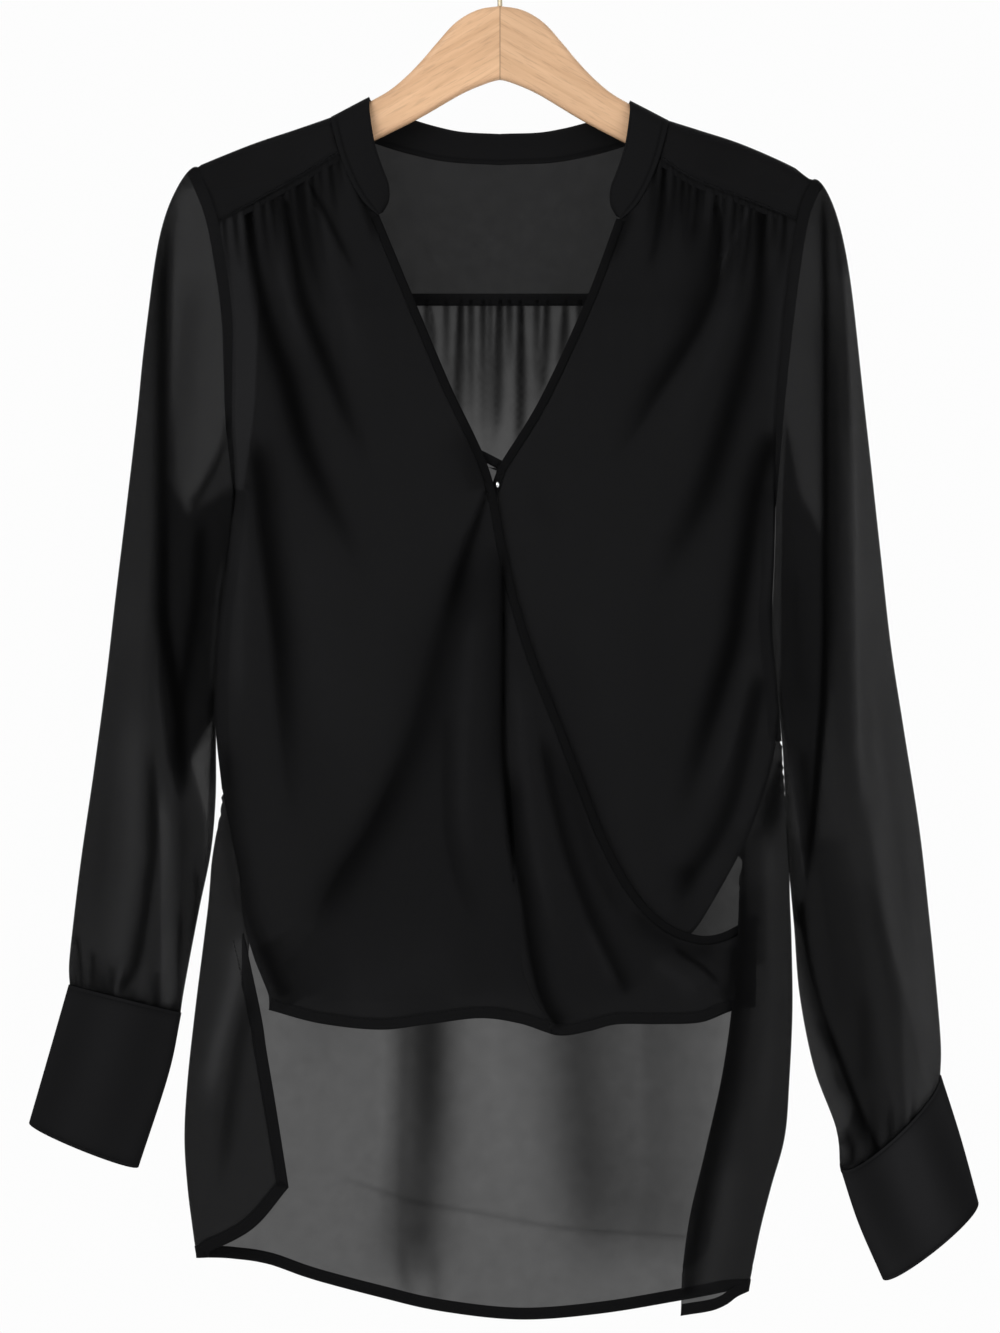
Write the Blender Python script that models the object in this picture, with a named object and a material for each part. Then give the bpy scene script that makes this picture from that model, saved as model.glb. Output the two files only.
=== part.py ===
"""A long-sleeved chiffon wrap top hanging on a flat wooden hanger.

Frame: metres, +Z up, the front faces -Y. The origin is the inner crown of the hanger's hook.
Tables are in millimetres: `across` runs along +X from the centre line and `drop` runs down
from the origin. `side` is -1 for the front of the garment and +1 for its back.
"""
import math

import bmesh
import bpy
import numpy as np
from mathutils import Vector
from mathutils.geometry import delaunay_2d_cdt

# ---------------------------------------------------------------- driving dimensions (mm)
MM = 0.001
FRONT = -1
BACK = 1
LEFT = -1
RIGHT = 1

WALL = 1.2                  # cloth wall of the panels and sleeves
BAND_WALL = 1.8             # neck band, bindings and hems, two or three layers
CUFF_WALL = 2.0             # interfaced cuff
SEAM_GAP = 0.4              # between two pieces that are sewn edge to edge
FOLD_GAP = 0.75             # half the distance between front and back at a side seam

GRID = 23.0                 # spacing of a panel's points away from gathers
EDGE_GRID = 16.0            # spacing along a plain edge
BINDING_GRID = 9.0          # spacing along a bound edge
GATHER_GRID = 2.6           # spacing along a gathered seam
GATHER_GROWTH = 0.5         # how fast the spacing grows away from a gathered seam

BINDING = 5.6               # width of the binding on the neck and wrap edges
HEM = 7.8                   # width of the hems
LAYER_OVER = 1.2            # the over front stands this far out of the torso's surface
LAYER_UNDER = -1.8          # the under front lies this far in
FLAP_LIFT = 6.5             # the turned flap lies in front of both
FLAP_FOLD = 2.0             # radius of its inner fold
FLAP_RADIUS = 5.0           # radius where the back panel folds round to the front
FLAP_TOP_FROM, FLAP_TOP_TO = 553, 610   # drops between which the right flap meets UNDER_LOW
FLAP_TOP_GAP = 0.9          # gap between the two
FLAP_TOP_GRID = 8.0         # spacing along that stretch

RIDGE_HALF = 8.0            # half depth of the cloth just below the shoulder ridge
RIDGE_ROUND = 8.0           # drop over which it rounds off
RIDGE_SPREAD = 22.0         # drop over which it spreads to the torso's depth
ARMHOLE_DEPTH = 12.0        # half depth of the armhole
ARMHOLE_STEPS = 10          # points down one side of an armhole
LENS_POWER = 2.5            # shape of the torso's section

YOKE_BACK_DROP = 252.0      # the seam under the back yoke
BAND_STEPS = 3              # points across the neck band
TUBE_SIDES = 20             # points round a sleeve
GATHER_SIDES = 44           # and round its gathered end
GATHER_ROWS = 3             # rows of points in the gathered end
CUFF_SIDES = 26
CUFF_ROW = 22.0             # spacing of the rows down a cuff
SHOULDER_SPREAD = 3.0       # how far each row under the armhole moves outwards

TAB_HALF = 3.0              # half width of the tab behind the fastener
TAB_WALL = 1.0
TAB_BEHIND = -4.6           # the tab lies this far in
SNAP_SIZE = (1.5, 0.7, 2.2)  # half sizes of the metal fastener
SNAP_AT = (-0.5, 374.0)

WOOD_HALF = 6.0             # half thickness of the hanger's board
WOOD_BEVEL = 3.6
HOOK_WIRE = 1.6             # radius of the wire
HOOK_RADIUS = 20.0          # radius of the hook's inside
HOOK_FROM, HOOK_TO, HOOK_STEP = -100, 125, 14   # angles of its bend, in degrees

# ---------------------------------------------------------------- outlines: (across, drop)
RIDGE = [(-197.0, 166.5), (-179, 159), (-158.5, 151), (-133, 142.5), (-108.5, 134.0), (-92, 128),
         (-60, 125), (0, 125), (60, 126), (92, 130), (108, 136), (130, 143), (156, 151.5),
         (186, 164.5), (204, 174.5)]
ARMHOLE = {
    LEFT: [(-197, 166.5), (-194.5, 171), (-184.5, 196), (-178, 229.5), (-174, 261.5),
           (-173.5, 289.5), (-174, 329), (-172.5, 363.5), (-173, 376.5)],
    RIGHT: [(204, 174.5), (199.5, 181.5), (193, 200.5), (186, 249), (180.5, 309), (179, 350),
            (179, 380)],
}
SIDE_SEAM = {
    LEFT: [(-173, 376.5), (-177, 422), (-183.5, 474), (-184.8, 526), (-180.5, 571)],
    RIGHT: [(179, 380), (178, 422), (176.5, 464.5), (179.5, 500), (182.8, 540)],
}
GATHER_SEAM = {
    LEFT: [(-182, 203), (-154.5, 188), (-130.5, 174.5), (-103, 158)],
    RIGHT: [(192.6, 202), (152, 186), (126, 176), (102.5, 161)],
}
OVER_EDGE = [(-78.5, 198.5), (-58.5, 246.5), (-32.5, 308.5), (-7, 364), (4.5, 418), (12.5, 451.5),
             (24.5, 489.5), (40.5, 530), (56, 570.5), (69.5, 604), (87, 635.5), (105.5, 655.5),
             (125.5, 665), (141, 665), (155.5, 658.5), (166, 652)]
OVER_HEM = [(-150, 714), (-117, 722.5), (-78, 726.5), (-47, 723), (-13, 719), (13, 722.5),
            (37.5, 730), (57, 727.5), (75.5, 723), (104, 723), (130, 722), (149.5, 715),
            (166, 712)]
OVER_SIDE = [(-180.5, 571), (-175, 599.5), (-169.5, 625.5), (-166.5, 655), (-160, 679),
             (-154.5, 693), (-150, 705), (-150, 714)]
UNDER_EDGE = [(75.5, 201), (56, 253), (26, 318), (0, 360.5), (-4.5, 372), (-36, 461), (-65, 552),
              (-104, 636), (-140, 685)]
UNDER_LOW = [(180.4, 526), (178.4, 545), (174.6, 562), (166.2, 588), (155.2, 613), (137.0, 645.5),
             (125.3, 663), (106.5, 679.5), (86, 700), (62, 708), (0, 704), (-60, 708),
             (-118, 706), (-140, 685)]
FLAP_LEFT_IN = [(-182.5, 571), (-177.2, 599.5), (-171.7, 625.5), (-168.7, 655), (-162.5, 682),
                (-154.5, 720), (-151.5, 740), (-145.5, 775.5), (-137, 829)]
FLAP_RIGHT_IN = [(157.2, 612), (156.5, 654), (153, 705.5), (146, 756), (134.5, 807.5),
                 (124, 853.5), (117, 912)]
BACK_HEM_LEFT = [(-137, 829), (-161, 856.5), (-196, 875)]
BACK_HEM = [(-196, 875), (-169, 877.5), (-150, 881), (-122, 891), (-78, 903), (-39, 912),
            (13, 917.5), (65, 913.5), (117, 904.5), (161, 895.5)]
BACK_HEM_RIGHT = [(161, 895.5), (142.5, 907.5), (117, 912)]
UNDERTURN = [(620, 2.0), (680, 8), (740, 12), (807, 14), (890, 14)]   # (drop, width)

# torso: widest lines and half depth at the middle; the folds of the back panel are its ends
TORSO = [  # drop, left, right, half depth
    (120.0, -200.0, 206.0, 19.0), (166, -198.5, 205, 19.5), (203, -182.5, 193.5, 21),
    (252, -175.5, 186, 23), (310, -173.5, 180.5, 25), (376, -173, 179, 26),
    (422, -177, 178, 26), (474, -183.5, 176.5, 26), (526, -184.8, 182, 26),
    (571, -180.5, 183.3, 26), (600, -181.5, 182.9, 26), (640, -184, 183.3, 25.5),
    (670, -187.5, 184.4, 25),
    (714, -193, 185, 24), (760, -198, 183, 24), (797, -200, 180, 24), (830, -198, 171, 24),
    (862, -194, 163, 24), (900, -189, 156, 24), (930, -186, 152, 24),
]

# soft folds: a ridge (height above 0) or a trough along a line, fading out at both ends
FOLDS_FRONT = [  # from across, from drop, to across, to drop, half width, height
    (-112, 178, -40, 335, 13, 3.0), (-138, 192, -78, 420, 14, 2.6),
    (-164, 206, -132, 430, 12, 2.2), (-126, 186, -62, 360, 8, -1.6),
    (113, 184, 44, 340, 13, 3.0), (142, 196, 82, 430, 14, 2.6),
    (172, 206, 128, 470, 13, 2.4), (128, 190, 66, 360, 8, -1.6),
    (-2, 385, -104, 640, 17, -3.6), (172, 470, 96, 630, 18, 2.4),
    (160, 430, 52, 560, 15, -1.8),
]
FOLDS_BACK = [
    (-48, 520, -52, 890, 20, 4.5), (55, 500, 60, 880, 22, 5.0),
    (0, 560, 4, 860, 22, -3.0), (-120, 420, -125, 800, 22, 3.0),
    (118, 420, 115, 800, 22, 3.0),
]
CENTRE_PLEAT = [(-2, 380), (2, 443), (3, 501), (5, 545.5), (9, 612.5), (13, 668.5), (17, 695),
                (37.5, 732)]
PLEAT_STEP = 2.6            # the cloth right of the pleat's line lies this much further out
PLEAT_HALF = 1.5            # half width of the step

GATHERS = {  # waves along the seam, height, reach of the waves down the panel
    "front": (9, 1.5, 26.0), "back": (28, 2.0, 46.0), "cuff": (13, 1.9, 34.0)}

# neck band: seam across, seam drop, edge across, edge drop; left half from its front end
BAND_FRONT = [
    (-78.8, 198.6, -76.4, 196.4), (-80.8, 196.8, -72.8, 190.5), (-84, 193.6, -71.8, 184.5),
    (-88, 189.2, -72.6, 177.5), (-92, 183, -75, 171), (-95.2, 177.3, -77.2, 165),
    (-99.3, 168.2, -80, 156.6), (-103, 158, -82.2, 147.5), (-106.3, 146, -84, 135.3),
    (-108.2, 138, -84.9, 126), (-108.4, 135, -84.8, 122.5),
    (-108.5, 134, -84.8, 121.5)]
BAND_BACK = [
    (-108.2, 135, -84.5, 122.4), (-106.5, 137.6, -83, 124.2),
    (-101, 141, -77, 126.8), (-91, 145.5, -68, 131),
    (-79.5, 150, -58, 134.8), (-58, 156.5, -41, 139.8), (-33, 161.5, -24, 143.2),
    (0, 163.4, 0, 144.5)]
BAND_RIGHT_DROP = 2.4       # the right shoulder hangs a little lower
BAND_EDGE_TOP = 121.5       # drop of the band's free edge at the ridge
BAND_EDGE_HALF = 8.5        # and its half depth there
BAND_EDGE_FRONT = 15.0      # and at its front ends
BAND_EDGE_BACK = 16.0       # and at the middle of the back

# sleeves: outer across, outer drop, inner across, inner drop, half depth, and how far the
# inner edge is tucked behind the torso's side
SLEEVE = {
    LEFT: [
        (-208, 176, -174.6, 386, 15, 0), (-217, 194, -175.6, 398, 17, 2),
        (-222.5, 214, -176.9, 412, 18, 4), (-227, 249, -178.6, 432, 19, 6),
        (-232, 290, -181.4, 455, 19, 7), (-236, 330, -184.1, 480, 19, 7),
        (-243, 390, -185.0, 515, 18.5, 7), (-250, 448, -184.9, 545, 18, 7),
        (-256, 500, -185.2, 578, 17.5, 6), (-264, 560, -188.2, 612, 17, 4),
        (-272, 615, -195.5, 648, 16, 2), (-277.5, 660, -202, 682, 14, 0),
        (-280, 685, -206, 704, 11.5, 0), (-279.6, 697, -207.6, 715, 9.5, 0)],
    RIGHT: [
        (216, 188, 180.6, 390, 15, 0), (223, 208, 179.4, 404, 17, 2),
        (227, 232, 178.8, 418, 18, 4), (231, 268, 177.8, 440, 19, 6),
        (236, 315, 176.7, 468, 19, 7), (241, 360, 179.6, 500, 19, 7),
        (247.5, 420, 183.6, 540, 18.5, 7), (254, 478, 185.8, 580, 18, 8),
        (262, 530, 187.9, 620, 17.5, 8), (272.5, 597, 191.4, 660, 17, 5),
        (279, 655, 195.0, 705, 16, 3), (284, 705, 204.3, 752, 14, 1),
        (286.5, 738, 218.5, 790, 11.5, 0), (286, 755.5, 221, 813, 9.5, 0)],
}
TUBE_BLUNT = 0.8            # how blunt a tube's edges are: the smaller, the blunter
TUBE_PINCH = 0.1            # added for each millimetre that its inner edge is tucked in
SLEEVE_BLEND = 3            # rows over which the armhole's loop turns into a flat tube
CUFF = {  # top and bottom: outer across, outer drop, inner across, inner drop, half depth, sag
    LEFT: [(-279.7, 698.2, -207.7, 716.2, 9.5, 0.0), (-292.5, 743, -216, 756, 9.5, 2.0),
           (-305.5, 788, -235.5, 816, 9.5, 4.0)],
    RIGHT: [(286, 756.9, 221.4, 814.2, 9.5, 14.0), (299, 798, 233, 850, 10, 12.0),
            (310.5, 840, 249, 887.5, 10.5, 9.0)],
}
FOLDS_SLEEVE = [  # side, from across, from drop, to across, to drop, half width, height
    (RIGHT, 206, 520, 226, 760, 9, 3.0), (LEFT, -206, 430, -222, 640, 10, -2.2),
    (RIGHT, 240, 470, 262, 740, 12, -2.0), (LEFT, -232, 380, -250, 650, 12, 2.0)]

# hanger: (across, drop) of its left half, top edge from the middle outwards, then back
WOOD_UPPER = [(0, 62), (-14.5, 64.5), (-28.5, 72.5), (-41, 86), (-49.5, 96), (-60, 107),
              (-72, 117), (-86, 125), (-108.5, 137.5), (-133, 146.5), (-158.5, 155),
              (-186, 166.5)]
WOOD_TIP = [(-190.5, 171), (-191, 177), (-186, 181)]
WOOD_LOWER = [(-172, 180), (-130, 170), (-104, 160), (-82.5, 150), (-52.5, 135), (-24.5, 119),
              (-6.5, 111.5), (0, 110)]
WOOD_RIGHT_DROP = 2.0

HOOK_SHANK = [(8.5, 39.5), (1.8, 45.5), (0.0, 52.0), (0.0, 61.5)]
TAB_LINE = [(-17.5, 352.0), (-9, 356), (1.5, 361.5)]

COLOURS = {  # base colour, roughness, metallic
    "chiffon": ((0.012, 0.012, 0.013, 1.0), 0.75, 0.0),
    "band": ((0.010, 0.010, 0.011, 1.0), 0.7, 0.0),
    "beech": ((0.66, 0.42, 0.25, 1.0), 0.5, 0.0),
    "metal": ((0.55, 0.47, 0.33, 1.0), 0.35, 1.0),
    "snap": ((0.75, 0.75, 0.76, 1.0), 0.3, 1.0),
}


# ---------------------------------------------------------------- curves
def curve(rows, spacing):
    """Points about `spacing` apart on a smooth curve through the rows, ends included."""
    knots = [np.array(row, float) for row in rows]
    knots = [2 * knots[0] - knots[1]] + knots + [2 * knots[-1] - knots[-2]]
    points = [knots[1]]
    for before, start, end, after in zip(knots, knots[1:], knots[2:], knots[3:]):
        steps = max(1, round(float(np.linalg.norm(end - start)) / spacing))
        for step in range(1, steps + 1):
            t = step / steps
            points.append(0.5 * (2 * start + (end - before) * t
                                 + (2 * before - 5 * start + 4 * end - after) * t * t
                                 + (3 * start - before - 3 * end + after) * t ** 3))
    return [tuple(point) for point in points]


def table(rows):
    """A function of the first column that gives the other columns, smoothly interpolated."""
    dense = np.array(curve(rows, 2.0))
    dense = dense[np.argsort(dense[:, 0])]
    return lambda key: [float(np.interp(key, dense[:, 0], column)) for column in dense.T[1:]]


def across_at(rows):
    """The across value of an outline as a function of drop."""
    lookup = table([(drop, across) for across, drop in rows])
    return lambda drop: lookup(drop)[0]


def drop_at(rows):
    """The drop of an outline as a function of across."""
    lookup = table(rows)
    return lambda across: lookup(across)[0]


def between(value, low, high):
    """A smooth 0 to 1 step between two limits."""
    t = min(max((value - low) / (high - low), 0.0), 1.0)
    return t * t * (3 - 2 * t)


ridge_drop = drop_at(RIDGE)
torso_row = table(TORSO)
armhole_across = {side: across_at(ARMHOLE[side]) for side in (LEFT, RIGHT)}
flap_in_right = across_at(FLAP_RIGHT_IN)
pleat_across = across_at(CENTRE_PLEAT)
underturn_width = table(UNDERTURN)


# ---------------------------------------------------------------- the torso's surface
def edge_depth(end, drop):
    """Half depth of the torso at its left or right end: armhole, side seam or rounded fold."""
    top = ARMHOLE[end][0][1]
    low = ARMHOLE[end][-1][1]
    share = min(max((drop - top) / (low - top), 0.0), 1.0)
    armhole = ARMHOLE_DEPTH * math.sqrt(max(0.0, 1 - share ** 3))
    fold = (FLAP_RADIUS - FOLD_GAP) * between(drop, SIDE_SEAM[end][-1][1] + 4, 625)
    return FOLD_GAP + armhole + fold


def torso_depth(across, drop):
    """Half depth of the torso, as a distance from the middle plane."""
    left, right, middle = torso_row(drop)
    share = min(max((across - left) / (right - left), 0.0), 1.0)
    edge = edge_depth(LEFT, drop) * (1 - share) + edge_depth(RIGHT, drop) * share
    full = edge + (middle - edge) * (1 - abs(2 * share - 1) ** LENS_POWER)
    below = max(0.0, drop - ridge_drop(across))
    rise = min(below / RIDGE_ROUND, 1.0)
    rounding = math.sqrt(max(0.0, 1 - (1 - rise) ** 2))
    narrow = min(RIDGE_HALF, full)
    return narrow * rounding + (full - narrow) * (1 - math.exp(-below / RIDGE_SPREAD))


def fold_height(folds, across, drop):
    """Sum of the soft folds at a point."""
    total = 0.0
    for x0, d0, x1, d1, width, height in folds:
        length = math.hypot(x1 - x0, d1 - d0)
        ux, ud = (x1 - x0) / length, (d1 - d0) / length
        along = (across - x0) * ux + (drop - d0) * ud
        off = (across - x0) * ud - (drop - d0) * ux
        fade = between(along, 0, 0.25 * length) * (1 - between(along, 0.7 * length, length))
        total += height * fade * math.exp(-(off / width) ** 2)
    return total


def gather_height(kind, share, distance):
    """Waves along a gathered seam, `share` of the way along it and `distance` below it."""
    waves, height, reach = GATHERS[kind]
    phase = 2 * math.pi * (waves * share + 0.22 * math.sin(2 * math.pi * (2.3 * share + 0.1)))
    uneven = 0.75 + 0.25 * math.sin(2 * math.pi * (5.1 * share + 0.3))
    return height * uneven * math.sin(phase) * math.exp(-distance / reach)


def surface(across, drop, side, lift=0.0):
    """A point of the torso's front or back, moved outwards by `lift`."""
    return (across, side * (torso_depth(across, drop) + lift), drop)


# ---------------------------------------------------------------- placing each piece
def place_yoke(across, reach):
    """The yoke's flat shape: reach is below 0 in front of the ridge and above 0 behind it."""
    return surface(across, ridge_drop(across) + abs(reach), FRONT if reach < 0 else BACK)


def front_fade(across, drop):
    """Folds and layers of a front die out at its armhole and side seam."""
    left, right, _ = torso_row(drop)
    return between(across - left, 4, 34) * between(right - across, 4, 34)


def place_over(across, drop):
    """The front that lies on top."""
    left = across_left_over(drop)
    lift = LAYER_OVER * between(drop, 300, 360) * between(across, left, left + 40)
    lift -= 1.6 * between(across, 128, 150)
    lift += fold_height(FOLDS_FRONT, across, drop) * front_fade(across, drop)
    lift += PLEAT_STEP * between(drop, 400, 700) * between(
        across - pleat_across(drop), -PLEAT_HALF, PLEAT_HALF) * (1 - between(across, 60, 120))
    seam_left, seam_right = GATHER_SEAM[LEFT][0][0], GATHER_SEAM[LEFT][-1][0]
    share = (across - seam_left) / (seam_right - seam_left)
    distance = max(0.0, drop - gather_drop[LEFT](across))
    if -0.05 < share < 1.3:
        lift += gather_height("front", share - 0.004 * distance, distance)
    return surface(across, drop, FRONT, lift)


def place_under(across, drop):
    """The front that passes behind it."""
    lift = LAYER_UNDER * between(drop, 310, 372) * (1 - between(across, 95, 150))
    lift += fold_height(FOLDS_FRONT, across, drop) * front_fade(across, drop)
    seam_left, seam_right = GATHER_SEAM[RIGHT][-1][0], GATHER_SEAM[RIGHT][0][0]
    share = (across - seam_left) / (seam_right - seam_left)
    distance = max(0.0, drop - gather_drop[RIGHT](across))
    if -0.3 < share < 1.05:
        lift += gather_height("front", share + 0.004 * distance, distance)
    return surface(across, drop, FRONT, lift)


gather_drop = {side: drop_at(GATHER_SEAM[side]) for side in (LEFT, RIGHT)}
across_left_over = across_at(ARMHOLE[LEFT][2:] + SIDE_SEAM[LEFT][1:] + OVER_SIDE[1:-1])


def place_back(flat, drop):
    """The back panel from its flat shape: past either end it folds round to the front."""
    left, right, _ = torso_row(drop)
    if flat < left and drop > SIDE_SEAM[LEFT][-1][1]:
        return round_fold(LEFT, left, left - flat, drop)
    if flat > right and drop > SIDE_SEAM[RIGHT][-1][1] + 1:
        return round_fold(RIGHT, right, flat - right, drop)
    lift = fold_height(FOLDS_BACK, flat, drop) * front_fade(flat, drop)
    distance = max(0.0, drop - YOKE_BACK_DROP)
    lift += gather_height("back", (flat - left) / (right - left), distance) * between(
        flat - left, 0, 12) * between(right - flat, 0, 12)
    return surface(flat, drop, BACK, lift)


def round_fold(end, fold, beyond, drop):
    """A point `beyond` the fold line, round the end of the torso and onto its front."""
    radius = edge_depth(end, drop)
    turn = math.pi * radius
    if beyond < turn:
        angle = beyond / radius
        return (fold + end * radius * math.sin(angle), radius * math.cos(angle), drop)
    across = fold - end * (beyond - turn)
    if end == LEFT:
        return surface(across, drop, FRONT)
    lift = FLAP_LIFT * between(drop, 596, 655) * between(fold - across, 0, 27)
    inner = flap_in_right(drop)
    if across >= inner or drop < FLAP_RIGHT_IN[0][1]:
        return surface(across, drop, FRONT, lift)
    past = inner - across
    half_turn = math.pi * FLAP_FOLD
    if past < half_turn:
        angle = past / FLAP_FOLD
        return surface(inner - FLAP_FOLD * math.sin(angle), drop, FRONT,
                       lift - FLAP_FOLD * (1 - math.cos(angle)))
    return surface(inner + past - half_turn, drop, FRONT, lift - 2 * FLAP_FOLD)


def flat_beyond(end, across, drop):
    """The flat position of a point on the front part of the back panel."""
    left, right, _ = torso_row(drop)
    fold = left if end == LEFT else right
    return fold + end * (math.pi * edge_depth(end, drop) + abs(fold - across))


# ---------------------------------------------------------------- meshes
def new_object(name, shape, colour):
    """An object with its own material, from a mesh or a curve."""
    material = bpy.data.materials.new(name)
    material.use_nodes = True
    shader = material.node_tree.nodes["Principled BSDF"]
    base, roughness, metallic = COLOURS[colour]
    shader.inputs["Base Color"].default_value = base
    shader.inputs["Roughness"].default_value = roughness
    shader.inputs["Metallic"].default_value = metallic
    material.diffuse_color = base
    shape.materials.append(material)
    piece = bpy.data.objects.new(name, shape)
    bpy.context.scene.collection.objects.link(piece)
    return piece


def cloth_object(name, points, faces, wall, colour="chiffon"):
    """A cloth wall: a sheet through the points, thickened evenly to both sides."""
    mesh = bpy.data.meshes.new(name)
    mesh.from_pydata([Vector((x * MM, y * MM, -drop * MM)) for x, y, drop in points], [], faces)
    sheet = bmesh.new()
    sheet.from_mesh(mesh)
    bmesh.ops.recalc_face_normals(sheet, faces=sheet.faces)
    sheet.to_mesh(mesh)
    sheet.free()
    mesh.shade_smooth()
    piece = new_object(name, mesh, colour)
    thick = piece.modifiers.new("wall", "SOLIDIFY")
    thick.thickness = wall * MM
    thick.offset = 0.0
    thick.use_rim = True
    return piece


def inside(outline, point):
    """Whether a flat point lies inside a closed outline."""
    x, y = point
    start_x, start_y = outline.T
    end_x, end_y = np.roll(outline, -1, axis=0).T
    crosses = (start_y > y) != (end_y > y)
    with np.errstate(divide="ignore", invalid="ignore"):
        at = start_x + (y - start_y) * (end_x - start_x) / (end_y - start_y)
    return bool(np.count_nonzero(crosses & (x < at)) % 2)


def clearance(segments, point):
    """Distance from a flat point to the nearest of the segments."""
    start, end = segments
    direction = end - start
    offset = np.array(point) - start
    length = np.maximum((direction ** 2).sum(axis=1), 1e-9)
    share = np.clip((offset * direction).sum(axis=1) / length, 0, 1)
    return float(np.sqrt(((offset - direction * share[:, None]) ** 2).sum(axis=1)).min())


def panel(name, outline, place, base, gathered=False, creases=()):
    """A cloth panel cut to a flat outline and laid on the surface that `place` gives.

    Rows of points run parallel to `base`, closer together below a gathered seam. Creases are
    flat lines that the triangles follow.
    """
    outline = np.array(outline)
    corners = [tuple(point) for point in outline]
    edges = [(i, (i + 1) % len(corners)) for i in range(len(corners))]
    for crease in creases:
        first = len(corners)
        corners += [tuple(point) for point in crease]
        edges += [(i, i + 1) for i in range(first, len(corners) - 1)]
    lines = np.array([[corners[a], corners[b]] for a, b in edges])
    segments = (lines[:, 0], lines[:, 1])
    low, high = outline.min(axis=0), outline.max(axis=0)
    distance = GATHER_GRID if gathered else GRID * 0.8
    row = 0
    points = list(corners)
    while distance < high[1] - low[1] + 60:
        step = min(GATHER_GRID + GATHER_GROWTH * distance, GRID) if gathered else GRID
        across = low[0] + step * (0.5 if row % 2 else 1.0)
        while across < high[0]:
            point = (across, base(across) + distance)
            if inside(outline, point) and clearance(segments, point) > 0.55 * step:
                points.append(point)
            across += step
        distance += 0.87 * step
        row += 1
    result = delaunay_2d_cdt([Vector(point) for point in points], edges, [], 1, 1e-5)
    flat, faces = result[0], result[2]
    return cloth_object(name, [place(point.x, point.y) for point in flat], faces, WALL)


def offset_line(line, distance):
    """A flat line moved sideways: to its left, seen with drop running down, if above 0."""
    line = np.array(line, float)
    tangent = np.gradient(line, axis=0)
    tangent /= np.linalg.norm(tangent, axis=1)[:, None]
    return [tuple(p) for p in line + distance * np.stack([tangent[:, 1], -tangent[:, 0]], axis=1)]


def ribbon(name, edge, place, inner, outer, wall=BAND_WALL, colour="band"):
    """A flat strip along an edge, between two offsets from it."""
    near, far = offset_line(edge, inner), offset_line(edge, outer)
    points = [place(*point) for pair in zip(near, far) for point in pair]
    faces = [(2 * i, 2 * i + 1, 2 * i + 3, 2 * i + 2) for i in range(len(edge) - 1)]
    return cloth_object(name, points, faces, wall, colour)


# ---------------------------------------------------------------- shared seam points
def armhole_drops(end):
    """Drops of the shared points down an armhole, with the yoke's seams among them."""
    top, low = ARMHOLE[end][0][1], ARMHOLE[end][-1][1]
    even = [top + (low - top) * (1 - math.cos(math.pi * k / ARMHOLE_STEPS)) / 2
            for k in range(ARMHOLE_STEPS + 1)]
    seams = [GATHER_SEAM[end][0][1], YOKE_BACK_DROP]
    even = [drop for drop in even if min(abs(drop - seam) for seam in seams) > 4]
    return sorted(even + seams)


def armhole_line(end, low, high):
    """Shared armhole points between two drops."""
    return [(armhole_across[end](drop), drop) for drop in armhole_drops(end)
            if low - 1e-6 <= drop <= high + 1e-6]


def band_rows():
    """All rows of the neck band, from its left front end round the back to its right end."""
    half = [row + (FRONT,) for row in BAND_FRONT] + [row + (BACK,) for row in BAND_BACK]
    mirrored = []
    for seam_x, seam_d, edge_x, edge_d, side in reversed(half[:-1]):
        share = 1 - between(abs(seam_x), 108, 0) if abs(seam_x) < 108 and side == BACK else 1.0
        shift = BAND_RIGHT_DROP * share
        mirrored.append((-seam_x - 0.5, seam_d + shift, -edge_x - 0.5, edge_d + shift, side))
    return half + mirrored


def yoke_neck_line():
    """The yoke's neck edge in its flat shape."""
    line = []
    for seam_x, seam_d, _, _, side in band_rows():
        if side == BACK or seam_d <= GATHER_SEAM[LEFT][-1][1] + 3.1:
            line.append((seam_x, side * (seam_d - ridge_drop(seam_x))))
    return line


# ---------------------------------------------------------------- the garment's pieces
def make_yoke():
    """Back yoke and both forward shoulders, in one piece over the ridge."""
    def reach(point, side):
        return point[0], side * max(0.0, point[1] - ridge_drop(point[0]))

    outline = [reach(p, FRONT) for p in curve(GATHER_SEAM[LEFT], EDGE_GRID)[:-1]]
    outline += yoke_neck_line()
    outline += [reach(p, FRONT) for p in reversed(curve(GATHER_SEAM[RIGHT], EDGE_GRID)[:-1])]
    front = armhole_line(RIGHT, 0, GATHER_SEAM[RIGHT][0][1] - 0.5)
    outline += [reach(p, FRONT) for p in reversed(front)]
    outline += [reach(p, BACK) for p in armhole_line(RIGHT, ARMHOLE[RIGHT][0][1] + 0.1,
                                                     YOKE_BACK_DROP)]
    low_right = armhole_across[RIGHT](YOKE_BACK_DROP)
    low_left = armhole_across[LEFT](YOKE_BACK_DROP)
    steps = round((low_right - low_left) / EDGE_GRID)
    outline += [reach((across, YOKE_BACK_DROP), BACK)
                for across in np.linspace(low_right, low_left, steps + 1)[1:-1]]
    outline += [reach(p, BACK) for p in reversed(armhole_line(LEFT, 0, YOKE_BACK_DROP))]
    outline += [reach(p, FRONT) for p in armhole_line(LEFT, ARMHOLE[LEFT][0][1] + 0.1,
                                                      GATHER_SEAM[LEFT][0][1] - 0.5)]
    creases = []
    for end in (LEFT, RIGHT):
        low, high = sorted((end * 111.0, end * 194.0))
        for past_ridge in (-8.0, -3.0, 0.0, 3.0, 8.0):
            inset = 4.0 if abs(past_ridge) > 4 else 0.0
            creases.append([(across, past_ridge)
                            for across in np.linspace(low + inset, high - inset, 7)])
    return panel("yoke", outline, place_yoke, lambda across: -45.0, creases=creases)


def front_top(end):
    """Gathered top edge of a front, just below the yoke."""
    return [(across, drop + SEAM_GAP) for across, drop in curve(GATHER_SEAM[end], GATHER_GRID)]


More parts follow.
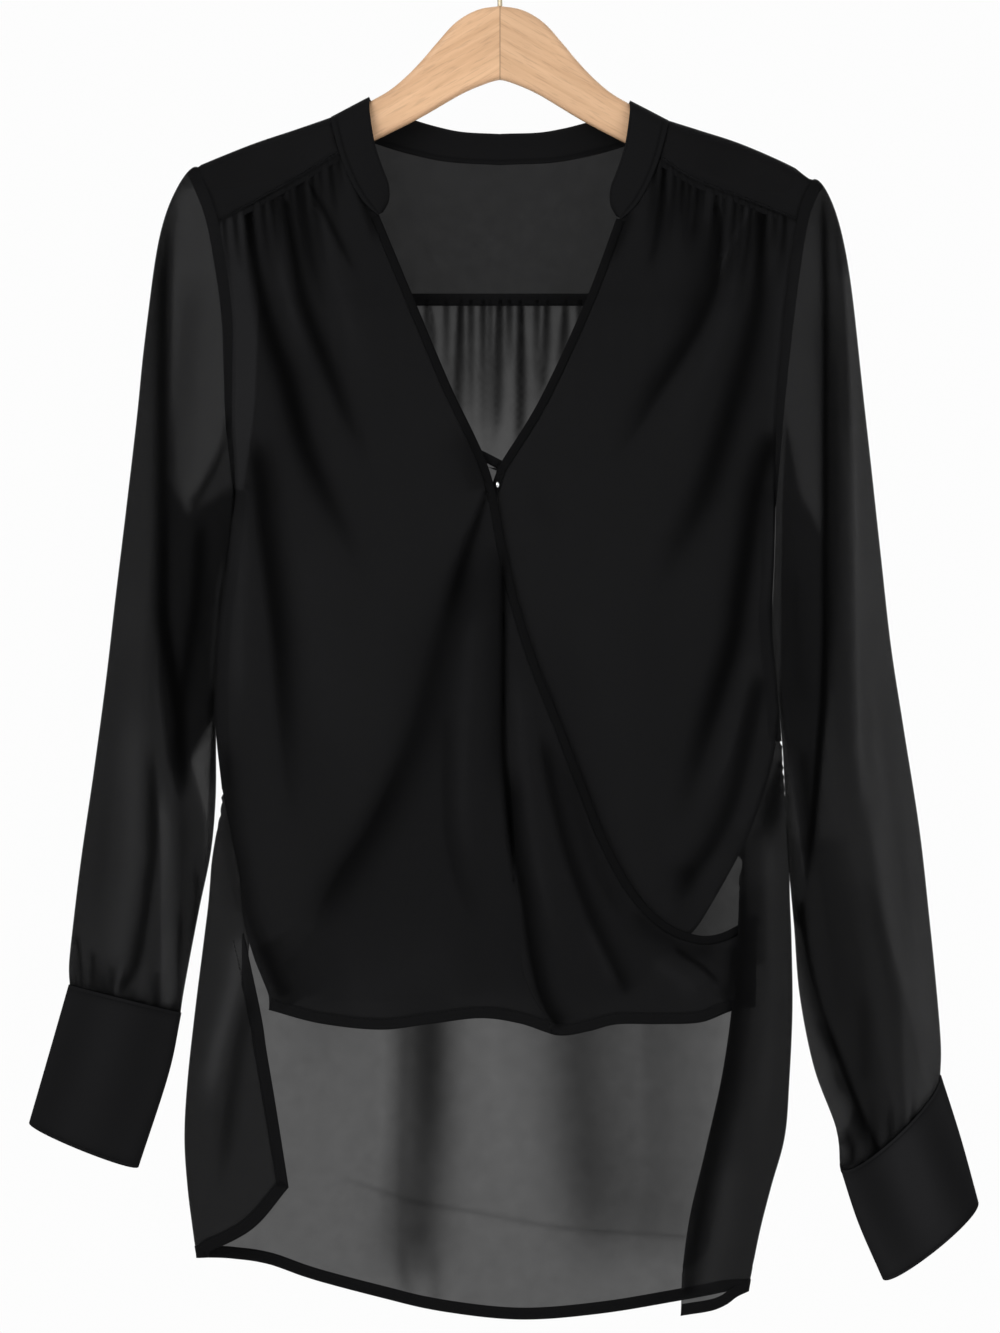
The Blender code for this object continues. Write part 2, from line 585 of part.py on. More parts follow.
def band_seam_front(end):
    """The front's edge along the neck band, from the shoulder down."""
    rows = [(row[0], row[1]) for row in band_rows() if row[4] == FRONT
            and row[0] * end > 0 and row[1] > GATHER_SEAM[LEFT][-1][1] + 4]
    return sorted(rows, key=lambda point: point[1])


def make_over_front():
    """The front on the left, whose edge wraps over to the right."""
    edge = offset_line(curve(OVER_EDGE, BINDING_GRID), -BINDING - SEAM_GAP)
    hem = offset_line(curve(OVER_HEM, EDGE_GRID), HEM + SEAM_GAP)
    outline = front_top(LEFT) + band_seam_front(LEFT)[:-1] + edge + list(reversed(hem))
    side = [point for point in curve(OVER_SIDE, EDGE_GRID) if point[1] < hem[0][1] - 5]
    outline += list(reversed(side))
    outline += list(reversed(curve(SIDE_SEAM[LEFT], EDGE_GRID)[:-1]))
    outline += list(reversed(armhole_line(LEFT, GATHER_SEAM[LEFT][0][1] + 1,
                                          ARMHOLE[LEFT][-1][1] - 1)))
    first, last = GATHER_SEAM[LEFT][0][0], GATHER_SEAM[LEFT][-1][0]

    def base(across):
        return gather_drop[LEFT](min(max(across, first), last)) + 0.2 * max(0, across - last)

    pleat = [point for point in curve(CENTRE_PLEAT, EDGE_GRID) if 470 < point[1] < 706]
    creases = [[(x + shift, d) for x, d in pleat] for shift in (-PLEAT_HALF, PLEAT_HALF)]
    panel("front_over", outline, place_over, base, True, creases)
    ribbon("binding_over", curve(OVER_EDGE, BINDING_GRID), place_over, -BINDING, 0.0)
    ribbon("hem_over", curve(OVER_HEM, EDGE_GRID), place_over, 0.0, HEM)


def make_under_front():
    """The front on the right, which passes behind the other."""
    edge = offset_line(curve(UNDER_EDGE, BINDING_GRID), BINDING + SEAM_GAP)
    low = curve(UNDER_LOW, EDGE_GRID)
    outline = front_top(RIGHT) + band_seam_front(RIGHT)[:-1] + edge
    outline += list(reversed([point for point in low if point[0] > edge[-1][0] + 6
                              or point[1] < 600]))
    outline += [point for point in reversed(curve(SIDE_SEAM[RIGHT], EDGE_GRID))
                if point[1] < UNDER_LOW[0][1] - 5]
    outline += list(reversed(armhole_line(RIGHT, GATHER_SEAM[RIGHT][0][1] + 1,
                                          ARMHOLE[RIGHT][-1][1] - 1)))
    last, first = GATHER_SEAM[RIGHT][0][0], GATHER_SEAM[RIGHT][-1][0]

    def base(across):
        return gather_drop[RIGHT](min(max(across, first), last)) - 0.2 * max(0, first - across)

    panel("front_under", outline, place_under, base, True)
    ribbon("binding_under", curve(UNDER_EDGE, BINDING_GRID), place_under, 0.0, BINDING)


def back_outline():
    """Flat outline of the back panel with both of its turned flaps, hems left off."""
    top = YOKE_BACK_DROP + SEAM_GAP
    low, high = armhole_across[LEFT](top), armhole_across[RIGHT](top)
    steps = round((high - low) / (1.25 * GATHER_GRID))
    outline = [(low + (high - low) * k / steps, top) for k in range(steps)]
    outline += [(high, top)] + armhole_line(RIGHT, top + 1, ARMHOLE[RIGHT][-1][1] - 1)
    outline += curve(SIDE_SEAM[RIGHT], EDGE_GRID)[:-1]
    outline += [(flat_beyond(RIGHT, x, d), d)
                for x, d in offset_line(curve(UNDER_LOW, FLAP_TOP_GRID), FLAP_TOP_GAP)
                if FLAP_TOP_FROM < d < FLAP_TOP_TO]
    for drop in [626, 640, 645, 650, 656] + list(range(662, 862, 16)) + [862, 868, 874, 879, 884]:
        inner = flat_beyond(RIGHT, flap_in_right(drop), drop)
        taper = between(drop, 640, 662) * (1 - between(drop, 862, 884))
        turned = math.pi * FLAP_FOLD + underturn_width(drop)[0]
        outline.append((inner + taper * turned, float(drop)))
    hem = offset_line(back_hem_line(), -HEM - SEAM_GAP)
    outline += hem
    slit = offset_line(slit_line(), HEM + SEAM_GAP)
    outline += [point for point in reversed(slit) if point[1] < hem[-1][1] - 4]
    outline += [(flat_beyond(LEFT, x, d), d) for x, d in reversed(curve(FLAP_LEFT_IN, EDGE_GRID))
                if 572 < d < slit[0][1] - 5]
    outline += list(reversed(curve(SIDE_SEAM[LEFT], EDGE_GRID)))
    outline += list(reversed(armhole_line(LEFT, top + 1, ARMHOLE[LEFT][-1][1] - 1)))
    return outline


def slit_line():
    """Flat line of the left flap's free edge, top to bottom."""
    return [(flat_beyond(LEFT, x, d), d) for x, d in curve(FLAP_LEFT_IN, EDGE_GRID)
            if d > 657]


def back_hem_line():
    """Flat line of the back hem from the right flap to the left one."""
    right = [(flat_beyond(RIGHT, x, d), d) for x, d in reversed(curve(BACK_HEM_RIGHT, EDGE_GRID))]
    middle = [point for point in reversed(curve(BACK_HEM, EDGE_GRID)) if -184 < point[0] < 150]
    left = [(flat_beyond(LEFT, x, d), d) for x, d in reversed(curve(BACK_HEM_LEFT, EDGE_GRID))]
    corner = left[-1]
    left = [point for point in left if math.dist(point, corner) > HEM + 1.5]
    return curve(right + middle[::2] + left, 12.0)


def make_back():
    """The back panel, longer than the fronts, with its side parts folded to the front."""
    creases = []
    for end in (LEFT, RIGHT):
        for share in (0.0, 0.25, 0.5, 0.75, 1.0):
            line = []
            for drop in np.arange(632, 862 if end == LEFT else 876, 20.0):
                left, right, _ = torso_row(drop)
                fold = left if end == LEFT else right
                line.append((fold + end * share * math.pi * edge_depth(end, drop), float(drop)))
            creases.append(line)
    for turn, top, low in ((0.0, 648, 879), (0.5, 654, 872), (1.0, 660, 867)):
        drops = np.linspace(top, low, 16)
        creases.append([(flat_beyond(RIGHT, flap_in_right(drop), drop)
                         + turn * math.pi * FLAP_FOLD, float(drop)) for drop in drops])
    for share in (0.4, 0.8):
        line = []
        for drop in np.arange(634, 882, 20.0):
            across = torso_row(drop)[1] * (1 - share) + flap_in_right(drop) * share
            line.append((flat_beyond(RIGHT, across, drop), float(drop)))
        creases.append(line)
    panel("back_panel", back_outline(), place_back, lambda across: YOKE_BACK_DROP, True, creases)
    ribbon("hem_back", back_hem_line(), place_back, -HEM, 0.0)
    ribbon("hem_slit", slit_line(), place_back, 0.0, HEM)


def make_neck_band():
    """The stand band round the neck, open in front."""
    points = []
    rows = band_rows()
    for seam_x, seam_d, edge_x, edge_d, side in rows:
        seam = Vector(surface(seam_x, seam_d, side))
        top = BAND_EDGE_TOP + (BAND_RIGHT_DROP if edge_x > 0 else 0.0)
        rise = min(max(edge_d - top, 0.0) / RIDGE_ROUND, 1.0)
        far = BAND_EDGE_FRONT if side == FRONT else BAND_EDGE_BACK
        half = BAND_EDGE_HALF * math.sqrt(max(0.0, 1 - (1 - rise) ** 2))
        half += (far - BAND_EDGE_HALF) * (1 - math.exp(-max(0.0, edge_d - top) / RIDGE_SPREAD))
        edge = Vector((edge_x, side * half, edge_d))
        start = (SEAM_GAP + 0.1) / max((edge - seam).length, 1.0)
        points += [tuple(seam.lerp(edge, share))
                   for share in np.linspace(start, 1.0, BAND_STEPS + 1)]
    faces = []
    for row in range(len(rows) - 1):
        for step in range(BAND_STEPS):
            at = row * (BAND_STEPS + 1) + step
            faces.append((at, at + 1, at + BAND_STEPS + 2, at + BAND_STEPS + 1))
    cloth_object("neck_band", points, faces, BAND_WALL, "band")


# ---------------------------------------------------------------- sleeves and cuffs
def loft(rings):
    """Points and faces of an open tube through rings of (angles, points)."""
    points, faces, starts = [], [], []
    for angles, ring in rings:
        starts.append(len(points))
        points += ring
    for (angles_a, ring_a), (angles_b, ring_b), start_a, start_b in zip(
            rings, rings[1:], starts, starts[1:]):
        a = b = 0
        full_a, full_b = list(angles_a) + [2 * math.pi], list(angles_b) + [2 * math.pi]
        while a < len(ring_a) or b < len(ring_b):
            at_a, at_b = start_a + a % len(ring_a), start_b + b % len(ring_b)
            step_a = full_a[a + 1] if a < len(ring_a) else math.inf
            step_b = full_b[b + 1] if b < len(ring_b) else math.inf
            if abs(step_a - step_b) < 1e-6:
                a, b = a + 1, b + 1
                faces.append((at_a, start_a + a % len(ring_a), start_b + b % len(ring_b), at_b))
            elif step_a < step_b:
                a += 1
                faces.append((at_a, start_a + a % len(ring_a), at_b))
            else:
                b += 1
                faces.append((at_a, start_b + b % len(ring_b), at_b))
    return points, faces


def armhole_ring(end, gap):
    """The sleeve's first ring, just outside the armhole."""
    top, low = ARMHOLE[end][0][1], ARMHOLE[end][-1][1]
    drops = armhole_drops(end)
    angles = [math.acos(max(-1.0, min(1.0, 1 - 2 * (drop - top) / (low - top))))
              for drop in drops]
    ring = [surface(armhole_across[end](drop), drop, FRONT) for drop in drops]
    angles += [2 * math.pi - angle for angle in reversed(angles[1:-1])]
    ring += [(x, -y, drop) for x, y, drop in reversed(ring[1:-1])]
    shoulder = 1.0 - np.array([math.sin(angle / 2) for angle in angles])
    moved = [(x + end * gap, y, drop - 0.6 * gap * float(up))
             for (x, y, drop), up in zip(ring, shoulder)]
    return angles, moved


def sleeve_height(end, across, drop):
    """Soft folds of a sleeve."""
    folds = [fold[1:] for fold in FOLDS_SLEEVE if fold[0] == end]
    return fold_height(folds, across, drop)


def tube_point(row, angle, sag=0.0, lift=0.0, tuck=0.0):
    """A point of a flattened tube between its outer and inner outlines."""
    outer_x, outer_d, inner_x, inner_d, half = row[:5]
    share = (1 - math.cos(angle)) / 2
    swell = abs(math.sin(angle)) ** (TUBE_BLUNT + TUBE_PINCH * tuck * share)
    depth = math.copysign((half + lift) * swell, math.sin(angle))
    return (outer_x + (inner_x - outer_x) * share, tuck * share ** 2 - depth,
            outer_d + (inner_d - outer_d) * share + sag * swell)


def make_sleeve(end, name):
    """A sleeve from its armhole to the gathers at the cuff."""
    rows = [np.array(row, float) for row in SLEEVE[end]]
    rows.insert(-1, (rows[-2] + rows[-1]) / 2)
    last = len(rows) - 1
    armhole_angles, armhole = armhole_ring(end, SEAM_GAP + WALL * 0.75)
    rings = [(armhole_angles, armhole)]
    for index, row in enumerate(rows):
        gathered = index > last - GATHER_ROWS
        sides = GATHER_SIDES if gathered else TUBE_SIDES
        angles = [2 * math.pi * k / sides for k in range(sides)]
        if index < SLEEVE_BLEND:
            angles = armhole_angles
        sag = CUFF[end][0][5] * between(index, last - 4, last)
        above_cuff = math.hypot(row[0] - rows[-1][0], row[1] - rows[-1][1])
        ring = []
        for at, angle in enumerate(angles):
            x, _, drop = tube_point(row, angle, sag)
            lift = sleeve_height(end, x, drop) if math.sin(angle) > 0 else 0.0
            if gathered:
                lift += gather_height("cuff", angle / (2 * math.pi), above_cuff) * between(
                    abs(math.sin(angle)), 0.0, 0.4)
            point = np.array(tube_point(row, angle, sag, lift, row[5]))
            if index < SLEEVE_BLEND:
                share = between(index + 1, 0, SLEEVE_BLEND + 1)
                spread = SHOULDER_SPREAD * (index + 1) * (1 + math.cos(angle)) / 2
                outwards = np.array([end * spread, 0, 0])
                point = (1 - share) * (np.array(armhole[at]) + outwards) + share * point
            ring.append(tuple(point))
        rings.append((angles, ring))
    cloth_object(name, *loft(rings), WALL)


def make_cuff(end, name):
    """A deep cuff: a flattened tube, open at both ends."""
    angles = [2 * math.pi * k / CUFF_SIDES for k in range(CUFF_SIDES)]
    rings = [(angles, [tube_point(row, angle, row[5]) for angle in angles])
             for row in curve(CUFF[end], CUFF_ROW)]
    cloth_object(name, *loft(rings), CUFF_WALL, "band")


# ---------------------------------------------------------------- closure
def make_closure():
    """The small metal fastener at the crossing and the tab behind it."""
    def place_tab(across, drop):
        return surface(across, drop, FRONT, TAB_BEHIND)

    ribbon("closure_tab", curve(TAB_LINE, 5.0), place_tab, -TAB_HALF, TAB_HALF, TAB_WALL)
    mesh = bpy.data.meshes.new("closure_snap")
    bead = bmesh.new()
    bmesh.ops.create_uvsphere(bead, u_segments=12, v_segments=8, radius=1.0)
    bmesh.ops.scale(bead, vec=[half * MM for half in SNAP_SIZE], verts=bead.verts)
    x, y, drop = place_under(*SNAP_AT)
    in_front = BAND_WALL / 2 + SNAP_SIZE[1] + SEAM_GAP
    bmesh.ops.translate(bead, vec=(x * MM, (y - in_front) * MM, -drop * MM), verts=bead.verts)
    bead.to_mesh(mesh)
    bead.free()
    mesh.shade_smooth()
    new_object("closure_snap", mesh, "snap")


# ---------------------------------------------------------------- hanger
def make_wood():
    """The flat wooden hanger, a shaped board with rounded edges."""
    left = curve(WOOD_UPPER, 9.0) + WOOD_TIP + curve(WOOD_LOWER, 14.0)
    right = []
    for across, drop in reversed(left[1:-1]):
        right.append((-across, drop + WOOD_RIGHT_DROP * between(-across, 0, 110)))
    mesh = bpy.data.meshes.new("hanger_wood")
    board = bmesh.new()
    front = [board.verts.new((x * MM, -WOOD_HALF * MM, -drop * MM)) for x, drop in left + right]
    face = board.faces.new(front)
    grown = bmesh.ops.extrude_face_region(board, geom=[face])
    moved = [item for item in grown["geom"] if isinstance(item, bmesh.types.BMVert)]
    bmesh.ops.translate(board, vec=(0, 2 * WOOD_HALF * MM, 0), verts=moved)
    bmesh.ops.recalc_face_normals(board, faces=board.faces)
    board.to_mesh(mesh)
    board.free()
    piece = new_object("hanger_wood", mesh, "beech")
    bevel = piece.modifiers.new("rounded edges", "BEVEL")
    bevel.width = WOOD_BEVEL * MM
    bevel.segments = 2
    bevel.limit_method = "ANGLE"
    bevel.angle_limit = math.radians(60)


def make_hook():
    """The wire hook: round over the rail, then down into the wood."""
    bend = HOOK_RADIUS + HOOK_WIRE
    turns = [math.radians(angle) for angle in range(HOOK_FROM, HOOK_TO, HOOK_STEP)]
    path = [(bend * math.sin(turn), HOOK_RADIUS - bend * math.cos(turn)) for turn in turns]
    path += curve([path[-1]] + HOOK_SHANK, 3.0)[1:]
    shape = bpy.data.curves.new("hanger_hook", "CURVE")
    shape.dimensions = "3D"
    shape.bevel_depth = HOOK_WIRE * MM
    shape.bevel_resolution = 2
    shape.use_fill_caps = True
    spline = shape.splines.new("POLY")
    spline.points.add(len(path) - 1)
    for point, (x, drop) in zip(spline.points, path):
        point.co = (x * MM, 0.0, -drop * MM, 1.0)
    new_object("hanger_hook", shape, "metal")


# ---------------------------------------------------------------- build
for old in list(bpy.data.objects):
    bpy.data.objects.remove(old)

make_wood()
make_hook()
make_yoke()
make_over_front()
make_under_front()
make_back()
make_neck_band()
for end_side, wearer in ((LEFT, "right"), (RIGHT, "left")):
    make_sleeve(end_side, "sleeve_" + wearer)
    make_cuff(end_side, "cuff_" + wearer)
make_closure()
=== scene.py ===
"""The looks of the wrap top and its hanger: sheer cloth shells, sewing, wood and wire.

Lengths are in millimetres unless a name says otherwise. `across` runs along +X from the centre
line and `drop` runs down from the frame's origin, the inner crown of the hanger's hook. `side`
is -1 for the front of the garment and +1 for its back, `end` is -1 for the left and +1 for the
right, as seen from the front.
"""
import math

import bmesh
import bpy
import numpy as np
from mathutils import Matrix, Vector
from mathutils.geometry import delaunay_2d_cdt


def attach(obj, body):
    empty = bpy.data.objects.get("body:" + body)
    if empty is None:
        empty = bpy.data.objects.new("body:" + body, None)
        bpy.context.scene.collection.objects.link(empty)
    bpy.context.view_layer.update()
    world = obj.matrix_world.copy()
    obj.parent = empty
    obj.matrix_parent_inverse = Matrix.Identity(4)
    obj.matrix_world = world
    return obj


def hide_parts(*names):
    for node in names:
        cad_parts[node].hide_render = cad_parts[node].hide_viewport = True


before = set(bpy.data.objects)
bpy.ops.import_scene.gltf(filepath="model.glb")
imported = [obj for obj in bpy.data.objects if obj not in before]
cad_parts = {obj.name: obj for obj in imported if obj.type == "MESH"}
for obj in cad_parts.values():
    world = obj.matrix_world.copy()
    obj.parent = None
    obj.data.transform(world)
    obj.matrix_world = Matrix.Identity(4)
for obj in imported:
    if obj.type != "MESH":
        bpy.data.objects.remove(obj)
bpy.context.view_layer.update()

MM = 0.001
FRONT, BACK = -1, 1
LEFT, RIGHT = -1, 1

# ---------------------------------------------------------------- sizes (mm)
SHELL = 0.35                # thickness of one layer of cloth
STRIP_SHELL = 0.9           # of a binding or hem
SEAM_SHELL = 0.5            # of the doubled cloth inside a seam
SIDE_SEAM_SHELL = 0.8
TAB_SHELL = 1.0
BAND_SHELL = 1.3            # of the neck band
CUFF_SHELL = 1.4
FOLD_GAP = 0.75             # half the distance between front and back at a side seam

GRID = 2.6                  # spacing of a front's points
BACK_GRID = 3.2             # and of the back's
YOKE_GRID = 4.0
EDGE_GRID = 2.6             # spacing along an edge
GATHER_GRID = 1.3           # spacing along a gathered seam
GATHER_GROWTH = 0.035       # how fast the spacing grows away from it
CRISP = 1.1                 # distance of the lines of points along both sides of a crisp fold
CRISP_WIDTH = 2.5           # a fold with a half width below this is crisp
RIDGE_CREASES = (-7.0, -3.5, -1.2, 0.0, 1.2, 3.5, 7.0)   # lines of points along the shoulders
RIDGE_CREASE_ENDS = (110.0, 195.0)      # and how far from the centre they run
PLEAT_CREASE_DROPS = (405, 724)         # where the faces follow the pleat
CREASE_GRID = 4.0                       # spacing of points along the back's folded edges
SIDE_FOLD_TOP, SIDE_FOLD_LOW = 600, {LEFT: 862, RIGHT: 878}   # where its faces follow them

BINDING = 5.6               # width of a binding
HEM = 7.8                   # and of a hem
SEAM = 8.0                  # width of the doubled cloth inside a seam
SEAM_DEPTH = 0.75           # how far inside the seams lie
CROWN = 0.5                 # how far the middle of a binding stands up
TUCK_UNDER = 3.0            # how far a flap's top reaches under the front

# how far pieces lie outside the torso's surface, and the drops or distances over which they rise
LAYER_OVER = 1.2
OVER_DROPS, OVER_RISE = (300, 360), 40
OVER_TUCK, OVER_TUCK_ACROSS = 1.6, (128, 150)       # its right end comes back in
LAYER_UNDER = -1.8
UNDER_DROPS, UNDER_ACROSS = (310, 372), (95, 150)
FLAP_LIFT = 6.5             # of the right flap
FLAP_DROPS, FLAP_RISE = (596, 655), 27
FLAP_FOLD = 2.0             # radius of its turned edge
FLAP_RADIUS = 5.0           # radius of the back's rounded side folds
FLAP_LEFT_UNDER, FLAP_LEFT_DROPS = 1.5, (672, 684)  # their tops lie under the fronts
FLAP_RIGHT_UNDER, FLAP_RIGHT_DROPS = 1.2, (612, 622)

RIDGE_HALF = 8.0            # half depth of the shoulders' ridge
RIDGE_ROUND = 8.0           # drop over which it is round
RIDGE_SPREAD = 22.0         # how slowly the torso widens below it
ARMHOLE_DEPTH = 12.0        # what an armhole's top adds to FOLD_GAP
LENS_POWER = 2.5            # how blunt the torso's section is

YOKE_BACK_DROP = 252.0      # of the seam across the back
SLEEVE_SIDES = 160
SLEEVE_ROW = 3.4            # spacing of a sleeve's rows
SLEEVE_GIRTH = 4.5          # length round a sleeve for one of its sides, in its flat pattern
SLEEVE_LENGTH = 45.0        # length down a sleeve for one row of its table, in the same pattern
ARMHOLE_RADIUS = 40.0       # radius of an armhole seam in its flat pattern
CUFF_RADIUS = 24.0          # and of a cuff
CUFF_SIDES = 80
CUFF_ROW = 3.5              # spacing of a cuff's rows
CUFF_GATHER_RADIUS = 22.0   # radius on which a sleeve's gathers are spaced
SHOULDER_SPREAD = 3.0       # how far the first rows spread outwards, for each row
SLEEVE_BLEND = 3            # rows over which the armhole's shape turns into the sleeve's
TUBE_BLUNT = 0.8            # how blunt a tube's section is
TUBE_PINCH = 0.1            # how much sharper its inner edge is for each mm of tuck
BAND_WIDTH = 24.0           # of the neck band in its flat pattern
BAND_ROW = 2.5              # spacing of its rows

FRONT_LAYERS = 1.7          # layers that a front counts as, with its fullness
SLEEVE_LAYERS = 1.0
YOKE_LAYERS = 1.7
FRONT_SHEEN = 0.12          # painted sheen: how much lighter the fronts are painted than the yoke
FOLD_COVER = 0.42           # how much a fold's darkness adds to what the cloth covers
BACK_FOLD_COVER = 0.9       # the same on the back panel
LIGHT_COVER = 0.35          # and how much a light fold takes from it
BACK_FULLNESS = 0.35        # what the back covers more below its yoke
BACK_FULLNESS_REACH = 90.0
SEAM_LINE_DARK, SEAM_LINE_WIDTH = 0.6, 1.6   # the dark line along a gathered seam: denser cloth, and painted shade along the seam
FOLD_GRID = 9.0             # spacing of the points on a fold's line
FOLD_REACH = 2.8            # a fold ends this many half widths away from its line
FOLD_POWER = 1.6            # how steep its flanks are
FROM_SEAM = 0.05            # a fold that fades in faster than this starts at a seam
STRIP_LAYERS = 1.7
BAND_LAYERS = 2.4
STRIP_COLUMNS = 5
STRIP_DARK = 0.28           # how much darker a strip is than a panel
BINDING_DARK = 0.6          # and how much darker a binding is
STRIP_FOLDS = 0.6           # share of the panel's painted fold shade that its strips have
RIM_LIGHT = 0.15            # painted highlight: how much lighter a strip's edges are
SEAM_DARK = 0.3             # how much darker an armhole's seam is
YOKE_RIPPLE = 0.22          # height of the yoke's ripples
# painted shade and light that follow the yoke's ripples
YOKE_RIPPLE_DARK = 0.05
CUFF_BILLOW = 3.2           # how far a sleeve billows above its cuff
CUFF_SHEEN = {LEFT: 0.25, RIGHT: 0.6}   # how strong the painted sheen on a cuff is
BILLOW_AT, BILLOW_SPREAD = 22, 16       # distances from the cuff
# painted sheen on the sleeve just above its cuff: its strength, and where and how wide it lies
BILLOW_SHEEN, SHEEN_AT, SHEEN_SPREAD = 0.25, 14, 14
CUFF_OVERLAP = 0.17         # of a sleeve's last row, into the cuff
CUFF_INSET = -0.8           # lift of the sleeve inside the cuff

STITCH = 2.1                # length of a stitch
STITCH_PITCH = 3.0
STITCH_HALF = 0.17          # half thickness of the thread
STITCH_LINE = 2.0           # spacing of the points on a line of stitches
STITCH_OUT = 0.1            # how far it lies outside the cloth
STITCH_IN_BINDING, STITCH_IN_HEM = 0.9, 1.1   # how far inside the strip's inner edge
STITCH_BY_SEAM = 1.6        # how far from a yoke's seam

TAB_HALF = 3.0              # half width of the tab behind the fastener
TAB_BEHIND = -4.6
SNAP_SIZE = (1.15, 0.7, 1.9)  # half sizes of the metal fastener
SNAP_SLIM = 0.28            # how much narrower its top is
SNAP_OUT = 0.6
SNAP_AT = (-1.6, 373.6)     # (across, drop)

WOOD_HALF = 6.0             # half thickness of the hanger's board
WOOD_ROUND = 4.2            # radius of its edges
HOOK_WIRE = 1.6             # radius of the wire
HOOK_RADIUS = 20.0          # inner radius of the hook

CAMERA_DISTANCE = 6.0       # metres
VIEW_HEIGHT = 0.8665        # metres shown top to bottom at the garment
VIEW_CENTRE_DROP = 491.3
FLOOR_Z = -1.9              # metres

# ---------------------------------------------------------------- outlines: (across, drop)
RIDGE = [(-197.0, 166.5), (-179, 159), (-158.5, 151), (-133, 142.5), (-108.5, 134.0), (-92, 128),
         (-60, 125), (0, 125), (60, 126), (92, 130), (108, 136), (130, 143), (156, 151.5),
         (186, 164.5), (204, 174.5)]
ARMHOLE = {
    LEFT: [(-197, 166.5), (-194.5, 171), (-184.5, 196), (-178, 229.5), (-174, 261.5),
           (-173.5, 289.5), (-174, 329), (-172.5, 363.5), (-173, 376.5)],
    RIGHT: [(204, 174.5), (199.5, 181.5), (193, 200.5), (186, 249), (180.5, 309), (179, 350),
            (179, 380)],
}
SIDE_SEAM = {
    LEFT: [(-173, 376.5), (-177, 422), (-183.5, 474), (-184.8, 526), (-180.5, 571)],
    RIGHT: [(179, 380), (178, 422), (176.5, 464.5), (179.5, 500), (182.8, 540)],
}
GATHER_SEAM = {
    LEFT: [(-182, 203), (-154.5, 188), (-130.5, 174.5), (-103, 158)],
    RIGHT: [(192.6, 202), (152, 186), (126, 176), (102.5, 161)],
}
OVER_EDGE = [(-78.5, 198.5), (-58.5, 246.5), (-32.5, 308.5), (-7, 364), (4.5, 418), (12.5, 451.5),
             (24.5, 489.5), (40.5, 530), (56, 570.5), (69.5, 604), (87, 635.5), (105.5, 655.5),
             (125.5, 665), (141, 665), (155.5, 658.5), (166, 652)]
OVER_HEM = [(-150, 714), (-117, 722.5), (-78, 726.5), (-47, 723), (-13, 719), (13, 722.5),
            (37.5, 730), (57, 727.5), (75.5, 723), (104, 723), (130, 722), (149.5, 715),
            (166, 712)]
OVER_SIDE = [(-180.5, 571), (-175, 599.5), (-169.5, 625.5), (-166.5, 655), (-160, 679),
             (-154.5, 693), (-150, 705), (-150, 714)]
UNDER_EDGE = [(75.5, 201), (56, 253), (26, 318), (0, 360.5), (-4.5, 372), (-36, 461), (-65, 552),
              (-104, 636), (-140, 685)]
UNDER_LOW = [(180.4, 526), (178.4, 545), (174.6, 562), (166.2, 588), (155.2, 613), (137.0, 645.5),
             (125.3, 663), (106.5, 679.5), (86, 700), (62, 708), (0, 704), (-60, 708),
             (-118, 706), (-140, 685)]
FLAP_LEFT_IN = [(-182.5, 571), (-177.2, 599.5), (-171.7, 625.5), (-168.7, 655), (-162.5, 682),
                (-154.5, 720), (-151.5, 740), (-145.5, 775.5), (-137, 829)]
FLAP_RIGHT_IN = [(157.2, 612), (156.5, 654), (153, 705.5), (146, 756), (134.5, 807.5),
                 (124, 853.5), (117, 912)]
BACK_HEM_LEFT = [(-137, 829), (-161, 856.5), (-196, 875)]
BACK_HEM = [(-196, 875), (-169, 877.5), (-150, 881), (-122, 891), (-78, 903), (-39, 912),
            (13, 917.5), (65, 913.5), (117, 904.5), (161, 895.5)]
BACK_HEM_RIGHT = [(161, 895.5), (142.5, 907.5), (117, 912)]
BACK_HEM_CORNER = (164.9, 897.3)    # in the middle of the rounded fold, flat
UNDERTURN = [(620, 2.0), (680, 8), (740, 12), (807, 14), (890, 14)]   # (drop, width)

TORSO = [  # drop, left, right, half depth
    (120.0, -200.0, 206.0, 19.0), (166, -198.5, 205, 19.5), (203, -182.5, 193.5, 21),
    (252, -175.5, 186, 23), (310, -173.5, 180.5, 25), (376, -173, 179, 26),
    (422, -177, 178, 26), (474, -183.5, 176.5, 26), (526, -184.8, 182, 26),
    (571, -180.5, 183.3, 26), (600, -181.5, 182.9, 26), (640, -184, 183.3, 25.5),
    (670, -187.5, 184.4, 25),
    (714, -193, 185, 24), (760, -198, 183, 24), (797, -200, 180, 24), (830, -198, 171, 24),
    (862, -194, 163, 24), (900, -189, 156, 24), (930, -186, 152, 24),
]
CENTRE_PLEAT = [(-2, 380), (2, 443), (3, 501), (5, 545.5), (9, 612.5), (13, 668.5), (17, 695),
                (37.5, 732)]
PLEAT_STEP = 2.6            # height of the pleat's step
PLEAT_HALF = 1.0            # half its width
PLEAT_DROPS, PLEAT_ACROSS = (400, 700), (60, 120)    # where it rises, and where it ends
CROSSING_DROP = 372.0       # where the two fronts cross

# ---------------------------------------------------------------- neck band, from its left end
BAND_FRONT = [  # seam across, seam drop, edge across, edge drop
    (-78.8, 198.6, -76.4, 196.4), (-80.8, 196.8, -72.8, 190.5), (-84, 193.6, -71.8, 184.5),
    (-88, 189.2, -72.6, 177.5), (-92, 183, -75, 171), (-95.2, 177.3, -77.2, 165),
    (-99.3, 168.2, -80, 156.6), (-103, 158, -82.2, 147.5), (-106.3, 146, -84, 135.3),
    (-108.2, 138, -84.9, 126), (-108.4, 135, -84.8, 122.5),
    (-108.5, 134, -84.8, 121.5)]
BAND_BACK = [
    (-108.2, 135, -84.5, 122.4), (-106.5, 137.6, -83, 124.2),
    (-101, 141, -77, 126.8), (-91, 145.5, -68, 131),
    (-79.5, 150, -58, 134.8), (-58, 156.5, -41, 139.8), (-33, 161.5, -24, 143.2),
    (0, 163.4, 0, 144.5)]
BAND_RIGHT_DROP = 2.4       # how much lower its right half lies
